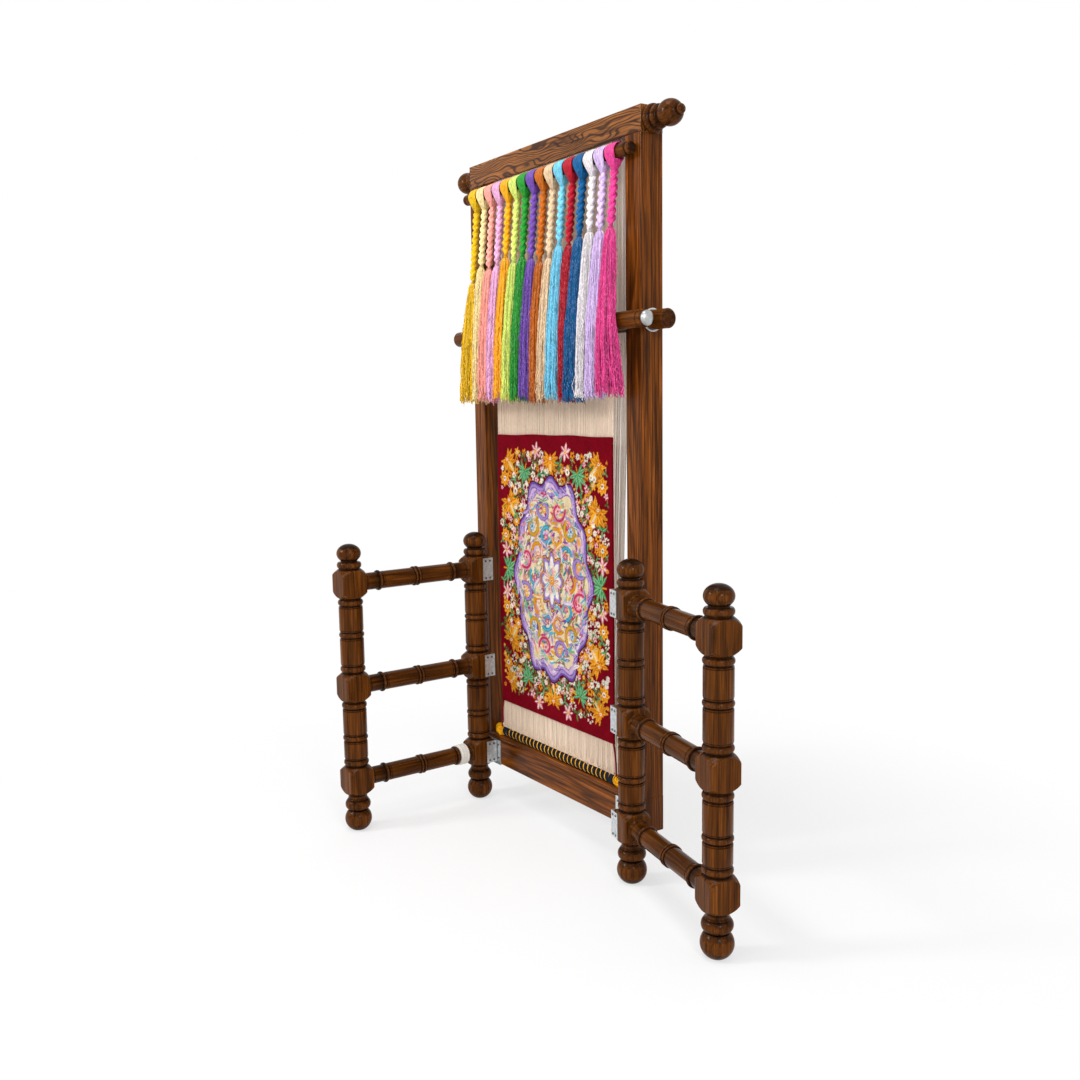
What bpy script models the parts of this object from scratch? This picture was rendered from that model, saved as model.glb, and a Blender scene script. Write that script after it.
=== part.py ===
# A vertical carpet loom: a hanging frame between two turned side gates on hinges.
# Units are metres. +Z is up, +X runs along the beams, -Y is the weaver's side.
import bpy
import bmesh
import math
from mathutils import Matrix, Vector

# Clearances
gap = 0.0003                    # between pieces that touch
loop_gap = 0.0006               # between a hank's loop and its rod

# Frame timbers
upright_width = 0.052
upright_depth = 0.058
frame_underside = 0.092
bottom_beam_height = 0.080
top_beam_height = 0.054
frame_top = 1.634
tenon_width = 0.018
tenon_depth = 0.034
tenon_length = 0.030
moulding_height = 0.016
moulding_depth = 0.006
finial_length = 0.100
finial_radius = 0.0290
finial_ball_radius = 0.0264
spigot_radius = 0.008
spigot_length = 0.014

# Rods and poles
skein_rod_radius = 0.0145
skein_rod_inset = 0.008         # its end inside the frame's side
skein_rod_drop = 0.031          # its axis under the top beam
heddle_pole_radius = 0.0190
heddle_pole_overhang = 0.040
pole_height = 1.205
pole_cap_radius = 0.0160
pole_cap_length = 0.010
lease_pole_radius = 0.0205
lease_pole_overhang = 0.055
washer_radius = 0.0245
washer_thickness = 0.003
peg_radius = 0.0040              # glued dowels that carry the front rods
skein_peg_grip = 0.020
heddle_peg_grip = 0.005

# Warp, carpet and the wound rod that holds the warp down
warp_width = 0.484
warp_thickness = 0.0013
warp_ribs = 32
warp_rib_depth = 0.0006
warp_front_set_in = 0.0060      # behind the frame's front plane
carpet_side_inset = 0.002       # inside the warp's edge
carpet_length = 0.690
carpet_bottom = 0.270
carpet_thickness = 0.0050
warp_rod_radius = 0.0060
warp_rod_end_gap = 0.014        # its end to the upright
warp_rod_set_in = 0.0115
lashing_thickness = 0.0018
lashing_side_reach = 0.008      # past the warp's edge
band_width = 0.0132
band_thickness = 0.0026
band_end_inset = 0.011          # the band's end inside the yellow yarn's
band_turns = 24
band_points_per_turn = 8
tie_width = 0.018
tie_to_upright = 0.026
tie_thickness = 0.0050
selvedge_radius = 0.0020

# Hanks of yarn on the skein rod
hank_count = 16
hank_end_margin = 0.056         # rod's end to the first hank's middle
hank_rest_gap = 0.0008          # between a tassel and the heddle pole it lies on
loop_width = 0.0220
loop_thickness = 0.0034
loop_drop = 0.036               # rod axis to the neck
neck_width = 0.0085
neck_depth = 0.0100
plait_width = 0.0160
plait_depth = 0.0125
tassel_below_pole = 0.1566      # from where it lies on the heddle pole to its end
tassel_width = 0.0360
tassel_depth = 0.0190           # above the heddle pole
tassel_pressed_depth = 0.0160   # where it lies on the pole
tassel_end_depth = 0.0360
plait_lengths = (0.176, 0.140, 0.149, 0.144, 0.130, 0.146, 0.137, 0.145,
                 0.157, 0.153, 0.130, 0.134, 0.120, 0.115, 0.118, 0.117)

# Gates
post_height = 0.710
block_side = 0.063
gate_pitch = 0.360              # rear post axis to front post axis
block_centres = (0.614, 0.360, 0.1265)
block_height = 0.072
turning_radius = 0.0290
groove_radius = 0.0262
rail_radius = 0.0215
rail_ring_radius = 0.0245
rail_neck_radius = 0.0190
rail_end_ring_radius = 0.0238
rail_sides = 10
post_sides = 12
left_gate_angle = math.radians(-3.0)    # outward from square, as it stands
right_gate_angle = math.radians(78.0)
rail_wrap_width = 0.022
rail_wrap_thickness = 0.0018
rail_wrap_to_block = 0.015

# Hinges
pin_inset = 0.020               # from the frame's outer side to the pin
pin_radius = 0.00205
pin_clearance = 0.0005          # round the pin, inside its knuckles
leaf_thickness = 0.0016
leaf_height = 0.058
strap_leg = 0.028               # the leg that shows on the block's inner face
leaf_reach = 0.029
foot_leaf_reach = 0.076
foot_leg_width = 0.034
foot_leg_depth = 0.036
hinge_screw_radius = 0.0027
hinge_screw_height = 0.0012

# Worked out from the sizes above
carpet_width = warp_width - 2 * carpet_side_inset
lashing_length = warp_width + 2 * lashing_side_reach
band_length = lashing_length - 2 * band_end_inset
frame_opening = lashing_length + 2 * (tie_width + tie_to_upright)
frame_width = frame_opening + 2 * upright_width
half_frame = frame_width / 2
warp_rod_length = frame_opening - 2 * warp_rod_end_gap
skein_rod_length = frame_width - 2 * skein_rod_inset
heddle_pole_length = frame_width + 2 * heddle_pole_overhang
hank_span = skein_rod_length - 2 * hank_end_margin
top_beam_underside = frame_top - top_beam_height
skein_rod_height = top_beam_underside - skein_rod_drop
bottom_beam_top = frame_underside + bottom_beam_height
knuckle_inner = pin_radius + pin_clearance
knuckle_outer = knuckle_inner + leaf_thickness
pin_to_block = knuckle_outer + gap
pin_y = -knuckle_outer - gap
pin_x = half_frame - pin_inset
block_half = block_side / 2
post_axis_x = block_half - knuckle_outer        # inward of the pin
post_axis_y = pin_to_block + block_half         # forward of the pin
lease_pole_y = upright_depth / 2
skein_rod_y = -gap - skein_rod_radius
heddle_pole_y = -gap - heddle_pole_radius
peg_x = half_frame - upright_width / 2
warp_front_y = warp_front_set_in
hank_reach = skein_rod_y - heddle_pole_y + heddle_pole_radius + tassel_pressed_depth / 2 + hank_rest_gap
hank_lean = math.atan2(hank_reach, skein_rod_height - pole_height)
rest_distance = math.hypot(hank_reach, skein_rod_height - pole_height)
tassel_end = rest_distance + tassel_below_pole
warp_back_bend_y = lease_pole_y + lease_pole_radius + gap
lashing_radius = warp_rod_radius + gap + lashing_thickness
band_inner_radius = lashing_radius / math.cos(math.pi / band_points_per_turn) + gap
band_outer_radius = band_inner_radius + band_thickness
winding_reach = band_outer_radius / math.cos(math.pi / band_points_per_turn)
warp_rod_height = bottom_beam_top + gap + winding_reach

for old in list(bpy.data.objects):
    bpy.data.objects.remove(old, do_unlink=True)


def material(name, colour, roughness, metallic=0.0):
    made = bpy.data.materials.new(name)
    made.use_nodes = True
    shader = made.node_tree.nodes["Principled BSDF"]
    shader.inputs["Base Color"].default_value = (*colour, 1.0)
    shader.inputs["Roughness"].default_value = roughness
    shader.inputs["Metallic"].default_value = metallic
    made.diffuse_color = (*colour, 1.0)
    return made


def empty(name, location=(0, 0, 0), parent=None):
    made = bpy.data.objects.new(name, None)
    bpy.context.scene.collection.objects.link(made)
    made.location = location
    made.parent = parent
    return made


loom = empty("loom")


def add_object(name, shape, look, parent=loom, smooth=35.0):
    """Turn a bmesh into one named object with outward faces."""
    bmesh.ops.recalc_face_normals(shape, faces=shape.faces)
    mesh = bpy.data.meshes.new(name)
    shape.to_mesh(mesh)
    shape.free()
    mesh.shade_smooth()
    mesh.set_sharp_from_angle(angle=math.radians(smooth))
    made = bpy.data.objects.new(name, mesh)
    made.parent = parent
    if look is not None:
        mesh.materials.append(look)
    bpy.context.scene.collection.objects.link(made)
    return made


def cut(target, shape, operation="DIFFERENCE"):
    """Cut a closed shape out of an object, or join it on."""
    cutter = add_object(target.name + "_tool", shape, None, target.parent)
    cutter.hide_render = True
    cutter.display_type = "WIRE"
    step = target.modifiers.new("tool", "BOOLEAN")
    step.operation = operation
    step.solver = "EXACT"
    step.use_self = operation == "UNION"
    step.object = cutter
    return target


def loft(shape, rings, close_ends=True, close_path=False):
    """Skin a list of rings that all have the same number of points."""
    rows = [[shape.verts.new(point) for point in ring] for ring in rings]
    pairs = list(zip(rows, rows[1:]))
    if close_path:
        pairs.append((rows[-1], rows[0]))
    for low, high in pairs:
        count = len(low)
        for i in range(count):
            j = (i + 1) % count
            shape.faces.new((low[i], low[j], high[j], high[i]))
    if close_ends and not close_path:
        shape.faces.new(list(reversed(rows[0])))
        shape.faces.new(rows[-1])
    return rows


def add_box(shape, low, high):
    x0, y0, z0 = low
    x1, y1, z1 = high
    base = [(x0, y0), (x1, y0), (x1, y1), (x0, y1)]
    loft(shape, [[(x, y, z0) for x, y in base], [(x, y, z1) for x, y in base]])


def circle(radius, sides, turn=0.0):
    return [(radius * math.cos(turn + math.tau * i / sides),
             radius * math.sin(turn + math.tau * i / sides)) for i in range(sides)]


def add_lathe(shape, profile, sides, place):
    """Turn (distance along the axis, radius) pairs about the local Z axis of place."""
    rings = []
    for along, radius in profile:
        rings.append([place @ Vector((x, y, along)) for x, y in circle(radius, sides)])
    loft(shape, rings)


def along_x(x, y, z):
    """Local Z becomes world X."""
    return Matrix.Translation((x, y, z)) @ Matrix.Rotation(math.radians(90), 4, "Y")


def along_y(x, y, z):
    """Local Z becomes world +Y."""
    return Matrix.Translation((x, y, z)) @ Matrix.Rotation(math.radians(-90), 4, "X")


def mirrored(profile, length):
    """A profile's first half, repeated backwards up to the full length."""
    back = [(length - along, radius) for along, radius in reversed(profile)]
    if abs(back[0][0] - profile[-1][0]) < 1e-6:
        back = back[1:]
    return profile + back


def prism(shape, outline, low, high):
    """Raise a flat outline of (x, y) points from low to high."""
    loft(shape, [[(x, y, low) for x, y in outline], [(x, y, high) for x, y in outline]])


walnut = material("stained_wood", (0.150, 0.055, 0.020), 0.34)
zinc = material("zinc_plate", (0.62, 0.64, 0.66), 0.38, 0.9)
cotton = material("cotton_warp", (0.80, 0.73, 0.63), 0.85)
pile = material("wool_pile", (0.42, 0.01, 0.04), 0.9)
navy = material("navy_yarn", (0.012, 0.014, 0.03), 0.75)
yellow = material("yellow_yarn", (0.85, 0.50, 0.01), 0.7)
tape = material("white_tape", (0.82, 0.79, 0.74), 0.8)
hank_colours = (
    ("gold", (0.85, 0.58, 0.01)), ("cream", (0.86, 0.73, 0.42)),
    ("salmon", (0.85, 0.33, 0.30)), ("lilac_pink", (0.75, 0.42, 0.60)),
    ("amber", (0.88, 0.46, 0.02)), ("pale_lime", (0.66, 0.76, 0.25)),
    ("green", (0.08, 0.42, 0.04)), ("purple", (0.20, 0.05, 0.38)),
    ("ochre", (0.60, 0.24, 0.02)), ("beige", (0.76, 0.58, 0.36)),
    ("light_blue", (0.30, 0.62, 0.80)), ("crimson", (0.42, 0.01, 0.05)),
    ("strong_blue", (0.01, 0.22, 0.58)), ("white", (0.84, 0.82, 0.84)),
    ("pale_lilac", (0.62, 0.50, 0.76)), ("hot_pink", (0.78, 0.06, 0.35)))


def make_upright(name, side):
    """A timber with a tenon at each end and a hole for the lease pole."""
    centre = side * (half_frame - upright_width / 2)

    def ring(width, depth, z):
        x, y = width / 2, depth / 2
        middle = upright_depth / 2
        return [(centre - x, middle - y, z), (centre + x, middle - y, z),
                (centre + x, middle + y, z), (centre - x, middle + y, z)]

    low = bottom_beam_top + gap
    high = top_beam_underside - gap
    shape = bmesh.new()
    loft(shape, [ring(tenon_width, tenon_depth, low - tenon_length),
                 ring(tenon_width, tenon_depth, low),
                 ring(upright_width, upright_depth, low),
                 ring(upright_width, upright_depth, high),
                 ring(tenon_width, tenon_depth, high),
                 ring(tenon_width, tenon_depth, high + tenon_length)])
    upright = add_object(name, shape, walnut)
    holes = bmesh.new()
    bore = (lease_pole_radius + gap) / math.cos(math.pi / 16)
    reach = upright_width
    add_lathe(holes, [(-reach, bore), (reach, bore)], 16,
              along_x(centre, lease_pole_y, pole_height))
    peg_bore = (peg_radius + gap) / math.cos(math.pi / 8)
    for height, grip in ((skein_rod_height, skein_peg_grip), (pole_height, heddle_peg_grip)):
        add_lathe(holes, [(-0.01, peg_bore), (grip + gap, peg_bore)], 8,
                  along_y(centre, 0, height))
    return cut(upright, holes)


def mortise(shape, centre, low, high):
    width = tenon_width / 2 + gap
    depth = tenon_depth / 2 + gap
    middle = upright_depth / 2
    add_box(shape, (centre - width, middle - depth, low),
            (centre + width, middle + depth, high))


def make_top_beam():
    shape = bmesh.new()
    add_box(shape, (-half_frame, 0, top_beam_underside), (half_frame, upright_depth, frame_top))
    beam = add_object("top_beam", shape, walnut)
    sockets = bmesh.new()
    centre = half_frame - upright_width / 2
    for side in (-1, 1):
        mortise(sockets, side * centre, top_beam_underside - 0.01,
                top_beam_underside + tenon_length + gap)
        bore = (spigot_radius + gap) / math.cos(math.pi / 12)
        start = side * half_frame
        inner = -side * (spigot_length + 2 * gap)
        ends = sorted((inner, side * 0.01))
        add_lathe(sockets, [(ends[0], bore), (ends[1], bore)], 12,
                  along_x(start, upright_depth / 2, frame_top - top_beam_height / 2))
    return cut(beam, sockets)


def make_bottom_beam():
    """The front's top edge carries a stepped moulding with a groove below it."""
    top = bottom_beam_top
    step = moulding_depth
    outline = [(0, frame_underside), (0, top - moulding_height - 0.006),
               (step * 0.6, top - moulding_height - 0.004), (step * 0.6, top - moulding_height),
               (0.0012, top - moulding_height + 0.001), (0.0012, top - 0.007),
               (step, top - 0.001), (step + 0.001, top),
               (upright_depth, top), (upright_depth, frame_underside)]
    shape = bmesh.new()
    loft(shape, [[(x, y, z) for y, z in outline] for x in (-half_frame, half_frame)])
    beam = add_object("bottom_beam", shape, walnut)
    sockets = bmesh.new()
    centre = half_frame - upright_width / 2
    for side in (-1, 1):
        mortise(sockets, side * centre, top - tenon_length - gap, top + 0.01)
    return cut(beam, sockets)


def make_finial(name, side):
    """Two collars, a ball and a small button, turned on a spigot."""
    r, ball = finial_radius, finial_ball_radius
    profile = [(-spigot_length, spigot_radius), (gap, spigot_radius),
               (gap, r * 0.88), (0.007, r), (0.013, r * 0.95), (0.018, r * 0.70),
               (0.023, r * 0.86), (0.029, r * 0.84), (0.034, r * 0.58),
               (0.044, ball * 0.86), (0.058, ball), (0.073, ball * 0.92),
               (0.085, ball * 0.58), (0.088, ball * 0.33), (0.094, ball * 0.36),
               (finial_length, ball * 0.13)]
    turn = Matrix.Rotation(math.radians(90 * side), 4, "Y")
    place = Matrix.Translation((side * half_frame, upright_depth / 2,
                                frame_top - top_beam_height / 2)) @ turn
    shape = bmesh.new()
    add_lathe(shape, profile, 12, place)
    return add_object(name, shape, walnut)


def add_pegs(rod, y, z, grip):
    """Glue a dowel into the rod's back at each upright."""
    pegs = bmesh.new()
    for side in (-1, 1):
        add_lathe(pegs, [(0, peg_radius), (grip - y, peg_radius)], 8,
                  along_y(side * peg_x, y, z))
    return cut(rod, pegs, "UNION")


def make_skein_rod():
    r = skein_rod_radius
    tip = [(0, r * 0.45), (0.003, r * 0.80), (0.010, r * 0.95), (0.014, r * 0.72),
           (0.018, r), (0.040, r)]
    shape = bmesh.new()
    add_lathe(shape, mirrored(tip, skein_rod_length), 12,
              along_x(-skein_rod_length / 2, skein_rod_y, skein_rod_height))
    rod = add_object("skein_rod", shape, walnut)
    return add_pegs(rod, skein_rod_y, skein_rod_height, skein_peg_grip)


def make_heddle_pole():
    r = heddle_pole_radius
    length = heddle_pole_length
    profile = [(0, r * 0.55), (0.003, r * 0.84), (0.008, r), (length - 0.018, r),
               (length - 0.015, r * 0.88), (length - 0.010, r * 1.0),
               (length - 0.004, r * 1.0), (length, r * 0.9)]
    shape = bmesh.new()
    add_lathe(shape, profile, 14, along_x(-length / 2, heddle_pole_y, pole_height))
    pole = add_object("heddle_pole", shape, walnut)
    return add_pegs(pole, heddle_pole_y, pole_height, heddle_peg_grip)


def make_pole_cap():
    r = pole_cap_radius
    profile = [(0, r * 0.94), (0.002, r), (0.006, r * 0.97), (0.0085, r * 0.72),
               (pole_cap_length, r * 0.30)]
    shape = bmesh.new()
    add_lathe(shape, profile, 14,
              along_x(heddle_pole_length / 2 + gap, heddle_pole_y, pole_height))
    return add_object("pole_end_cap", shape, zinc)


def make_lease_pole():
    r = lease_pole_radius
    length = frame_width + 2 * lease_pole_overhang
    profile = mirrored([(0, r * 0.90), (0.003, r), (length / 2, r)], length)
    shape = bmesh.new()
    add_lathe(shape, profile, 16, along_x(-length / 2, lease_pole_y, pole_height))
    return add_object("lease_pole", shape, walnut)


def make_washer(name, side):
    hole = (lease_pole_radius + gap) / math.cos(math.pi / 16)
    start = side * (half_frame + gap)
    end = side * (half_frame + gap + washer_thickness)
    rings = []
    for x, radius in ((start, hole), (start, washer_radius), (end, washer_radius), (end, hole)):
        rings.append([(x, lease_pole_y + a, pole_height + b) for a, b in circle(radius, 16)])
    shape = bmesh.new()
    loft(shape, rings, close_path=True)
    return add_object(name, shape, zinc)


def add_ribbed_sheet(shape, path):
    """A sheet of warp along (y, z) points, ribbed in front as its threads lie."""
    half = warp_width / 2
    count = 2 * warp_ribs
    front = []
    for i in range(count + 1):
        x = -half + warp_width * i / count
        front.append((x, warp_rib_depth if i % 2 == 0 else 0.0))
    rings = []
    for y, z in path:
        ring = [(x, y + dy, z) for x, dy in front]
        ring += [(half, y + warp_thickness, z), (-half, y + warp_thickness, z)]
        rings.append(ring)
    loft(shape, rings)


def make_warps():
    """Two layers that stand on the winding and reach the top beam."""
    top = top_beam_underside - gap
    stand = winding_reach + gap
    near = warp_rod_set_in - warp_front_y - warp_thickness
    shape = bmesh.new()
    bottom = warp_rod_height + math.sqrt(stand * stand - near * near)
    add_ribbed_sheet(shape, [(warp_front_y, bottom), (warp_front_y, top)])
    add_object("warp_front", shape, cotton)
    shape = bmesh.new()
    low_y = warp_rod_set_in + 0.004
    bottom = warp_rod_height + math.sqrt(stand * stand - 0.004 * 0.004)
    add_ribbed_sheet(shape, [(low_y, bottom), (warp_back_bend_y, pole_height),
                             (warp_back_bend_y, top)])
    add_object("warp_back", shape, cotton)


def make_carpet():
    """The knotted carpet, with the slight wave of its last row at the top."""
    columns = 16
    half = carpet_width / 2
    back = warp_front_y - gap
    front = back - carpet_thickness
    rows = []
    for i in range(columns + 1):
        x = -half + carpet_width * i / columns
        top = carpet_bottom + carpet_length + 0.0025 * math.sin(math.pi * i / columns)
        top += 0.0008 * math.cos(math.tau * 3 * i / columns)
        rows.append([(x, front, carpet_bottom), (x, back, carpet_bottom),
                     (x, back, top), (x, front, top)])
    shape = bmesh.new()
    loft(shape, rows)
    carpet = add_object("carpet", shape, pile)
    cords = bmesh.new()
    for side in (-1, 1):
        add_selvedge_cord(cords, side)
    return cut(carpet, cords, "UNION")


def add_selvedge_cord(shape, side):
    """The bound edge cord that runs from a lower corner down to the wound rod."""
    r = selvedge_radius
    top_x = side * (carpet_width / 2 - 2 * r)
    low_x = side * (carpet_width / 2 + 0.006)
    y = warp_front_y - gap - 1.2 * r
    low_z = warp_rod_height + winding_reach + gap
    top_z = carpet_bottom + 0.004
    rings = []
    steps = 5
    for i in range(steps + 1):
        t = i / steps
        x = low_x + (top_x - low_x) * t + 0.003 * side * math.sin(math.pi * t)
        z = low_z + (top_z - low_z) * t
        rings.append([(x + a, y + b, z) for a, b in circle(r, 6)])
    loft(shape, rings)


def make_warp_rod():
    shape = bmesh.new()
    r = warp_rod_radius
    add_lathe(shape, mirrored([(0, r * 0.8), (0.002, r), (0.1, r)], warp_rod_length), 10,
              along_x(-warp_rod_length / 2, warp_rod_set_in, warp_rod_height))
    return add_object("warp_rod", shape, walnut)


def make_rod_lashing():
    """Yellow yarn over the rod, tied down to the bottom beam at both ends."""
    sides = 10
    inner = (warp_rod_radius + gap) / math.cos(math.pi / sides)
    slim = inner + lashing_thickness
    full = inner + tie_thickness
    foot = bottom_beam_top + gap
    tie = lashing_length / 2 + tie_width

    def ring(x, radius, tied=False):
        points = []
        for a, b in circle(radius, sides, math.pi / sides):
            z = warp_rod_height + b
            if tied and b < -0.5 * radius:
                z = foot
                a *= 1.4
            points.append((x, warp_rod_set_in + a, z))
        return points

    half = lashing_length / 2
    shape = bmesh.new()
    rings = [ring(-tie, inner), ring(-tie, full, True), ring(-half, full, True),
             ring(-half, slim), ring(half, slim), ring(half, full, True),
             ring(tie, full, True), ring(tie, inner)]
    loft(shape, rings, close_path=True)
    return add_object("rod_lashing", shape, yellow)


def make_rod_winding():
    """One unbroken navy band wound over the yellow yarn."""
    turn = band_points_per_turn
    total = band_turns * turn
    low = band_inner_radius / math.cos(math.pi / turn)
    high = band_outer_radius / math.cos(math.pi / turn)
    half = band_width / 2
    rings = []
    for i in range(total + 1):
        angle = math.tau * (i + 0.5) / turn
        c, s = math.cos(angle), math.sin(angle)
        x = -band_length / 2 + band_length * i / total
        section = ((-half, low), (half, low), (half * 0.8, high - 0.0005),
                   (0, high), (-half * 0.8, high - 0.0005))
        rings.append([(x + dx, warp_rod_set_in + r * c, warp_rod_height + r * s)
                      for dx, r in section])
    pitch = band_length / band_turns
    print("rod winding: least gap between turns", round((pitch - band_width) * 1000, 2), "mm")
    shape = bmesh.new()
    loft(shape, rings)
    return add_object("rod_winding", shape, navy)


def make_hank(name, x, plait_length, look):
    """A loop over the rod, a neck, a plait, a knot and a tassel that lies on the pole."""
    pivot = empty(name + "_pivot", (x, skein_rod_y, skein_rod_height), loom)
    pivot.rotation_euler = (-hank_lean, 0, 0)
    inner = (skein_rod_radius + loop_gap) / math.cos(math.pi / 12)
    shape = bmesh.new()

    def strand(width, inner_y, inner_z, outward_y, outward_z):
        """Five points across the band: inner corners, outer corners and a crown."""
        thick = loop_thickness
        crown = thick * 1.25
        half = width / 2
        return [(half, inner_y, inner_z), (half * 0.9, inner_y + outward_y * thick, inner_z + outward_z * thick),
                (0, inner_y + outward_y * crown, inner_z + outward_z * crown),
                (-half * 0.9, inner_y + outward_y * thick, inner_z + outward_z * thick),
                (-half, inner_y, inner_z)]

    arc = [math.radians(-30 + 240 * i / 8) for i in range(9)]
    bands = []
    for angle in arc:
        y, z = math.cos(angle), math.sin(angle)
        bands.append(strand(loop_width, inner * y, inner * z, y, z))
    rows = [[shape.verts.new(point) for point in band] for band in bands]
    for low, high in zip(rows, rows[1:]):
        for i in range(5):
            j = (i + 1) % 5
            shape.faces.new((low[i], low[j], high[j], high[i]))
    half = neck_width / 2
    right = shape.verts.new((half, 0, -loop_drop))
    left = shape.verts.new((-half, 0, -loop_drop))
    deep = neck_depth / 2

    def neck_strand(sign):
        return [right, shape.verts.new((half * 0.8, sign * deep * 0.8, -loop_drop)),
                shape.verts.new((0, sign * deep, -loop_drop)),
                shape.verts.new((-half * 0.8, sign * deep * 0.8, -loop_drop)), left]

    back = neck_strand(1)
    front = neck_strand(-1)
    for neck, band in ((back, rows[0]), (front, rows[-1])):
        for i in range(5):
            j = (i + 1) % 5
            shape.faces.new((neck[i], neck[j], band[j], band[i]))
    ring = [right, back[1], back[2], back[3], left, front[3], front[2], front[1]]

    plait_end = loop_drop + plait_length
    stations = []
    bumps = 6
    for i in range(1, bumps + 1):
        swell = 1.0 if i % 2 else 0.80
        fade = 1.0 - 0.25 * i / bumps
        stations.append((loop_drop + plait_length * i / (bumps + 1),
                         plait_width / 2 * swell * fade, plait_depth / 2 * swell * fade))
    stations.append((plait_end, plait_width * 0.26, plait_depth * 0.30))
    half = tassel_width / 2
    stations += [(plait_end + 0.012, half * 0.60, tassel_depth * 0.36),
                 (plait_end + 0.045, half * 0.80, tassel_depth * 0.46),
                 (rest_distance - 0.030, half * 0.92, tassel_depth / 2),
                 (rest_distance, half * 0.96, tassel_pressed_depth / 2),
                 (rest_distance + 0.030, half, tassel_end_depth * 0.36),
                 (tassel_end, half, tassel_end_depth / 2)]
    for depth, wide, deep in sorted(stations):
        hang = max(0, depth - rest_distance) * math.tan(hank_lean)     # upright below the pole
        row = [shape.verts.new((wide * a, hang + deep * b, -depth)) for a, b in circle(1.0, 8)]
        for i in range(8):
            j = (i + 1) % 8
            shape.faces.new((ring[i], ring[j], row[j], row[i]))
        ring = row
    shape.faces.new(ring)
    return add_object(name, shape, look, pivot)


def square_or_round(half, lathe_radius):
    """Points of a square section that a lathe has cut back to a radius."""
    points = []
    for i in range(post_sides):
        angle = math.tau * (i + 0.5) / post_sides
        c, s = math.cos(angle), math.sin(angle)
        reach = min(half / max(abs(c), abs(s)), lathe_radius)
        points.append((reach * c, reach * s))
    return points


def post_rings():
    """Rings of one post from its ball foot to its ball top, as (height, outline)."""
    h = post_height
    r = turning_radius
    g = groove_radius
    corner = block_half * math.sqrt(2)
    rings = []

    def turned(z, radius):
        rings.append((z, square_or_round(corner * 2, radius)))

    def block(centre):
        low = centre - block_height / 2
        high = centre + block_height / 2
        for z, radius in ((low, r * 0.9), (low + 0.009, corner),
                          (high - 0.009, corner), (high, r * 0.9)):
            rings.append((z, square_or_round(block_half, radius)))

    def span(low, high):
        """Bead, drum, bead, drum and bead between two blocks."""
        bead = 0.021
        drum = (high - low - 3 * bead) / 2
        z = low
        for piece in range(5):
            if piece % 2 == 0:
                turned(z + bead * 0.12, g)
                turned(z + bead * 0.5, r * 1.03)
                turned(z + bead * 0.88, g)
                z += bead
            else:
                turned(z + 0.001, r)
                turned(z + drum - 0.001, r)
                z += drum

    foot = 0.073 * h
    for share, radius in ((0, 0.70), (0.16, 0.95), (0.50, 1.09), (0.84, 0.86), (1.0, 0.62)):
        turned(foot * share, r * radius)
    ring_top = 0.113 * h
    for share, radius in ((0.25, 1.03), (0.65, 1.03), (1.0, 0.74)):
        turned(foot + (ring_top - foot) * share, r * radius)
    low, middle, high = block_centres[2], block_centres[1], block_centres[0]
    block(low)
    span(low + block_height / 2, middle - block_height / 2)
    block(middle)
    span(middle + block_height / 2, high - block_height / 2)
    block(high)
    collar = high + block_height / 2
    neck = 0.943 * h
    for share, radius in ((0.25, 1.04), (0.75, 1.04), (1.0, 0.70)):
        turned(collar + (neck - collar) * share, r * radius)
    for share, radius in ((0.30, 0.95), (0.62, 0.93), (0.90, 0.52), (1.0, 0.12)):
        turned(neck + (h - neck) * share, r * radius)
    return rings


def make_post(name, x, y, parent):
    shape = bmesh.new()
    loft(shape, [[(x + a, y + b, z) for a, b in outline] for z, outline in post_rings()])
    return add_object(name, shape, walnut, parent, 42.0)


def make_rail(name, x, y_rear, y_front, z, parent):
    """Turned rail with a flange at each block, an end ring and a double ring in the middle."""
    length = y_rear - y_front
    r, big, slim = rail_radius, rail_ring_radius, rail_neck_radius
    half = [(0, big * 0.94), (0.008, big), (0.014, slim), (0.019, rail_end_ring_radius), (0.026, r),
            (length / 2 - 0.010, r), (length / 2 - 0.006, big), (length / 2, r)]
    shape = bmesh.new()
    add_lathe(shape, mirrored(half, length), rail_sides, along_y(x, y_front, z))
    return add_object(name, shape, walnut, parent)


def curled_plate(path_end, side, up):
    """Outline of a leaf: a flat run that curls round the pin. up is +1 or -1 in Y."""
    steps = 6
    middle = (knuckle_inner + knuckle_outer) / 2
    half = leaf_thickness / 2
    path = []
    for x, y in path_end:
        path.append((x, y))
    start = 90 * up
    for i in range(steps + 1):
        angle = math.radians(start - up * 250 * i / steps)
        path.append((middle * math.cos(angle), middle * math.sin(angle)))
    left, right = [], []
    for i, (x, y) in enumerate(path):
        ahead = Vector(path[min(i + 1, len(path) - 1)]) - Vector(path[i])
        behind = Vector(path[i]) - Vector(path[max(i - 1, 0)])
        if ahead.length == 0:
            ahead = behind
        if behind.length == 0:
            behind = ahead
        turn = (ahead.normalized() + behind.normalized()).normalized()
        normal = Vector((-turn.y, turn.x))
        stretch = 1 / max(0.5, normal.dot(Vector((-ahead.normalized().y, ahead.normalized().x))))
        left.append((x + normal.x * half * stretch, y + normal.y * half * stretch))
        right.append((x - normal.x * half * stretch, y - normal.y * half * stretch))
    outline = left + list(reversed(right))
    return [(side * x, y) for x, y in outline]


def knuckle_boxes(shape, z, thirds):
    """Boxes that clear the barrel where the other leaf's knuckles turn."""
    reach = knuckle_outer + 0.0008
    for low, high in thirds:
        add_box(shape, (-reach, -reach, z + low), (reach, reach, z + high))


def add_screw_head(shape, place):
    """A low head whose base is sunk in its plate."""
    profile = [(-leaf_thickness / 2, hinge_screw_radius), (hinge_screw_height * 0.4, hinge_screw_radius),
               (hinge_screw_height, hinge_screw_radius * 0.55)]
    add_lathe(shape, profile, 6, place)


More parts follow.
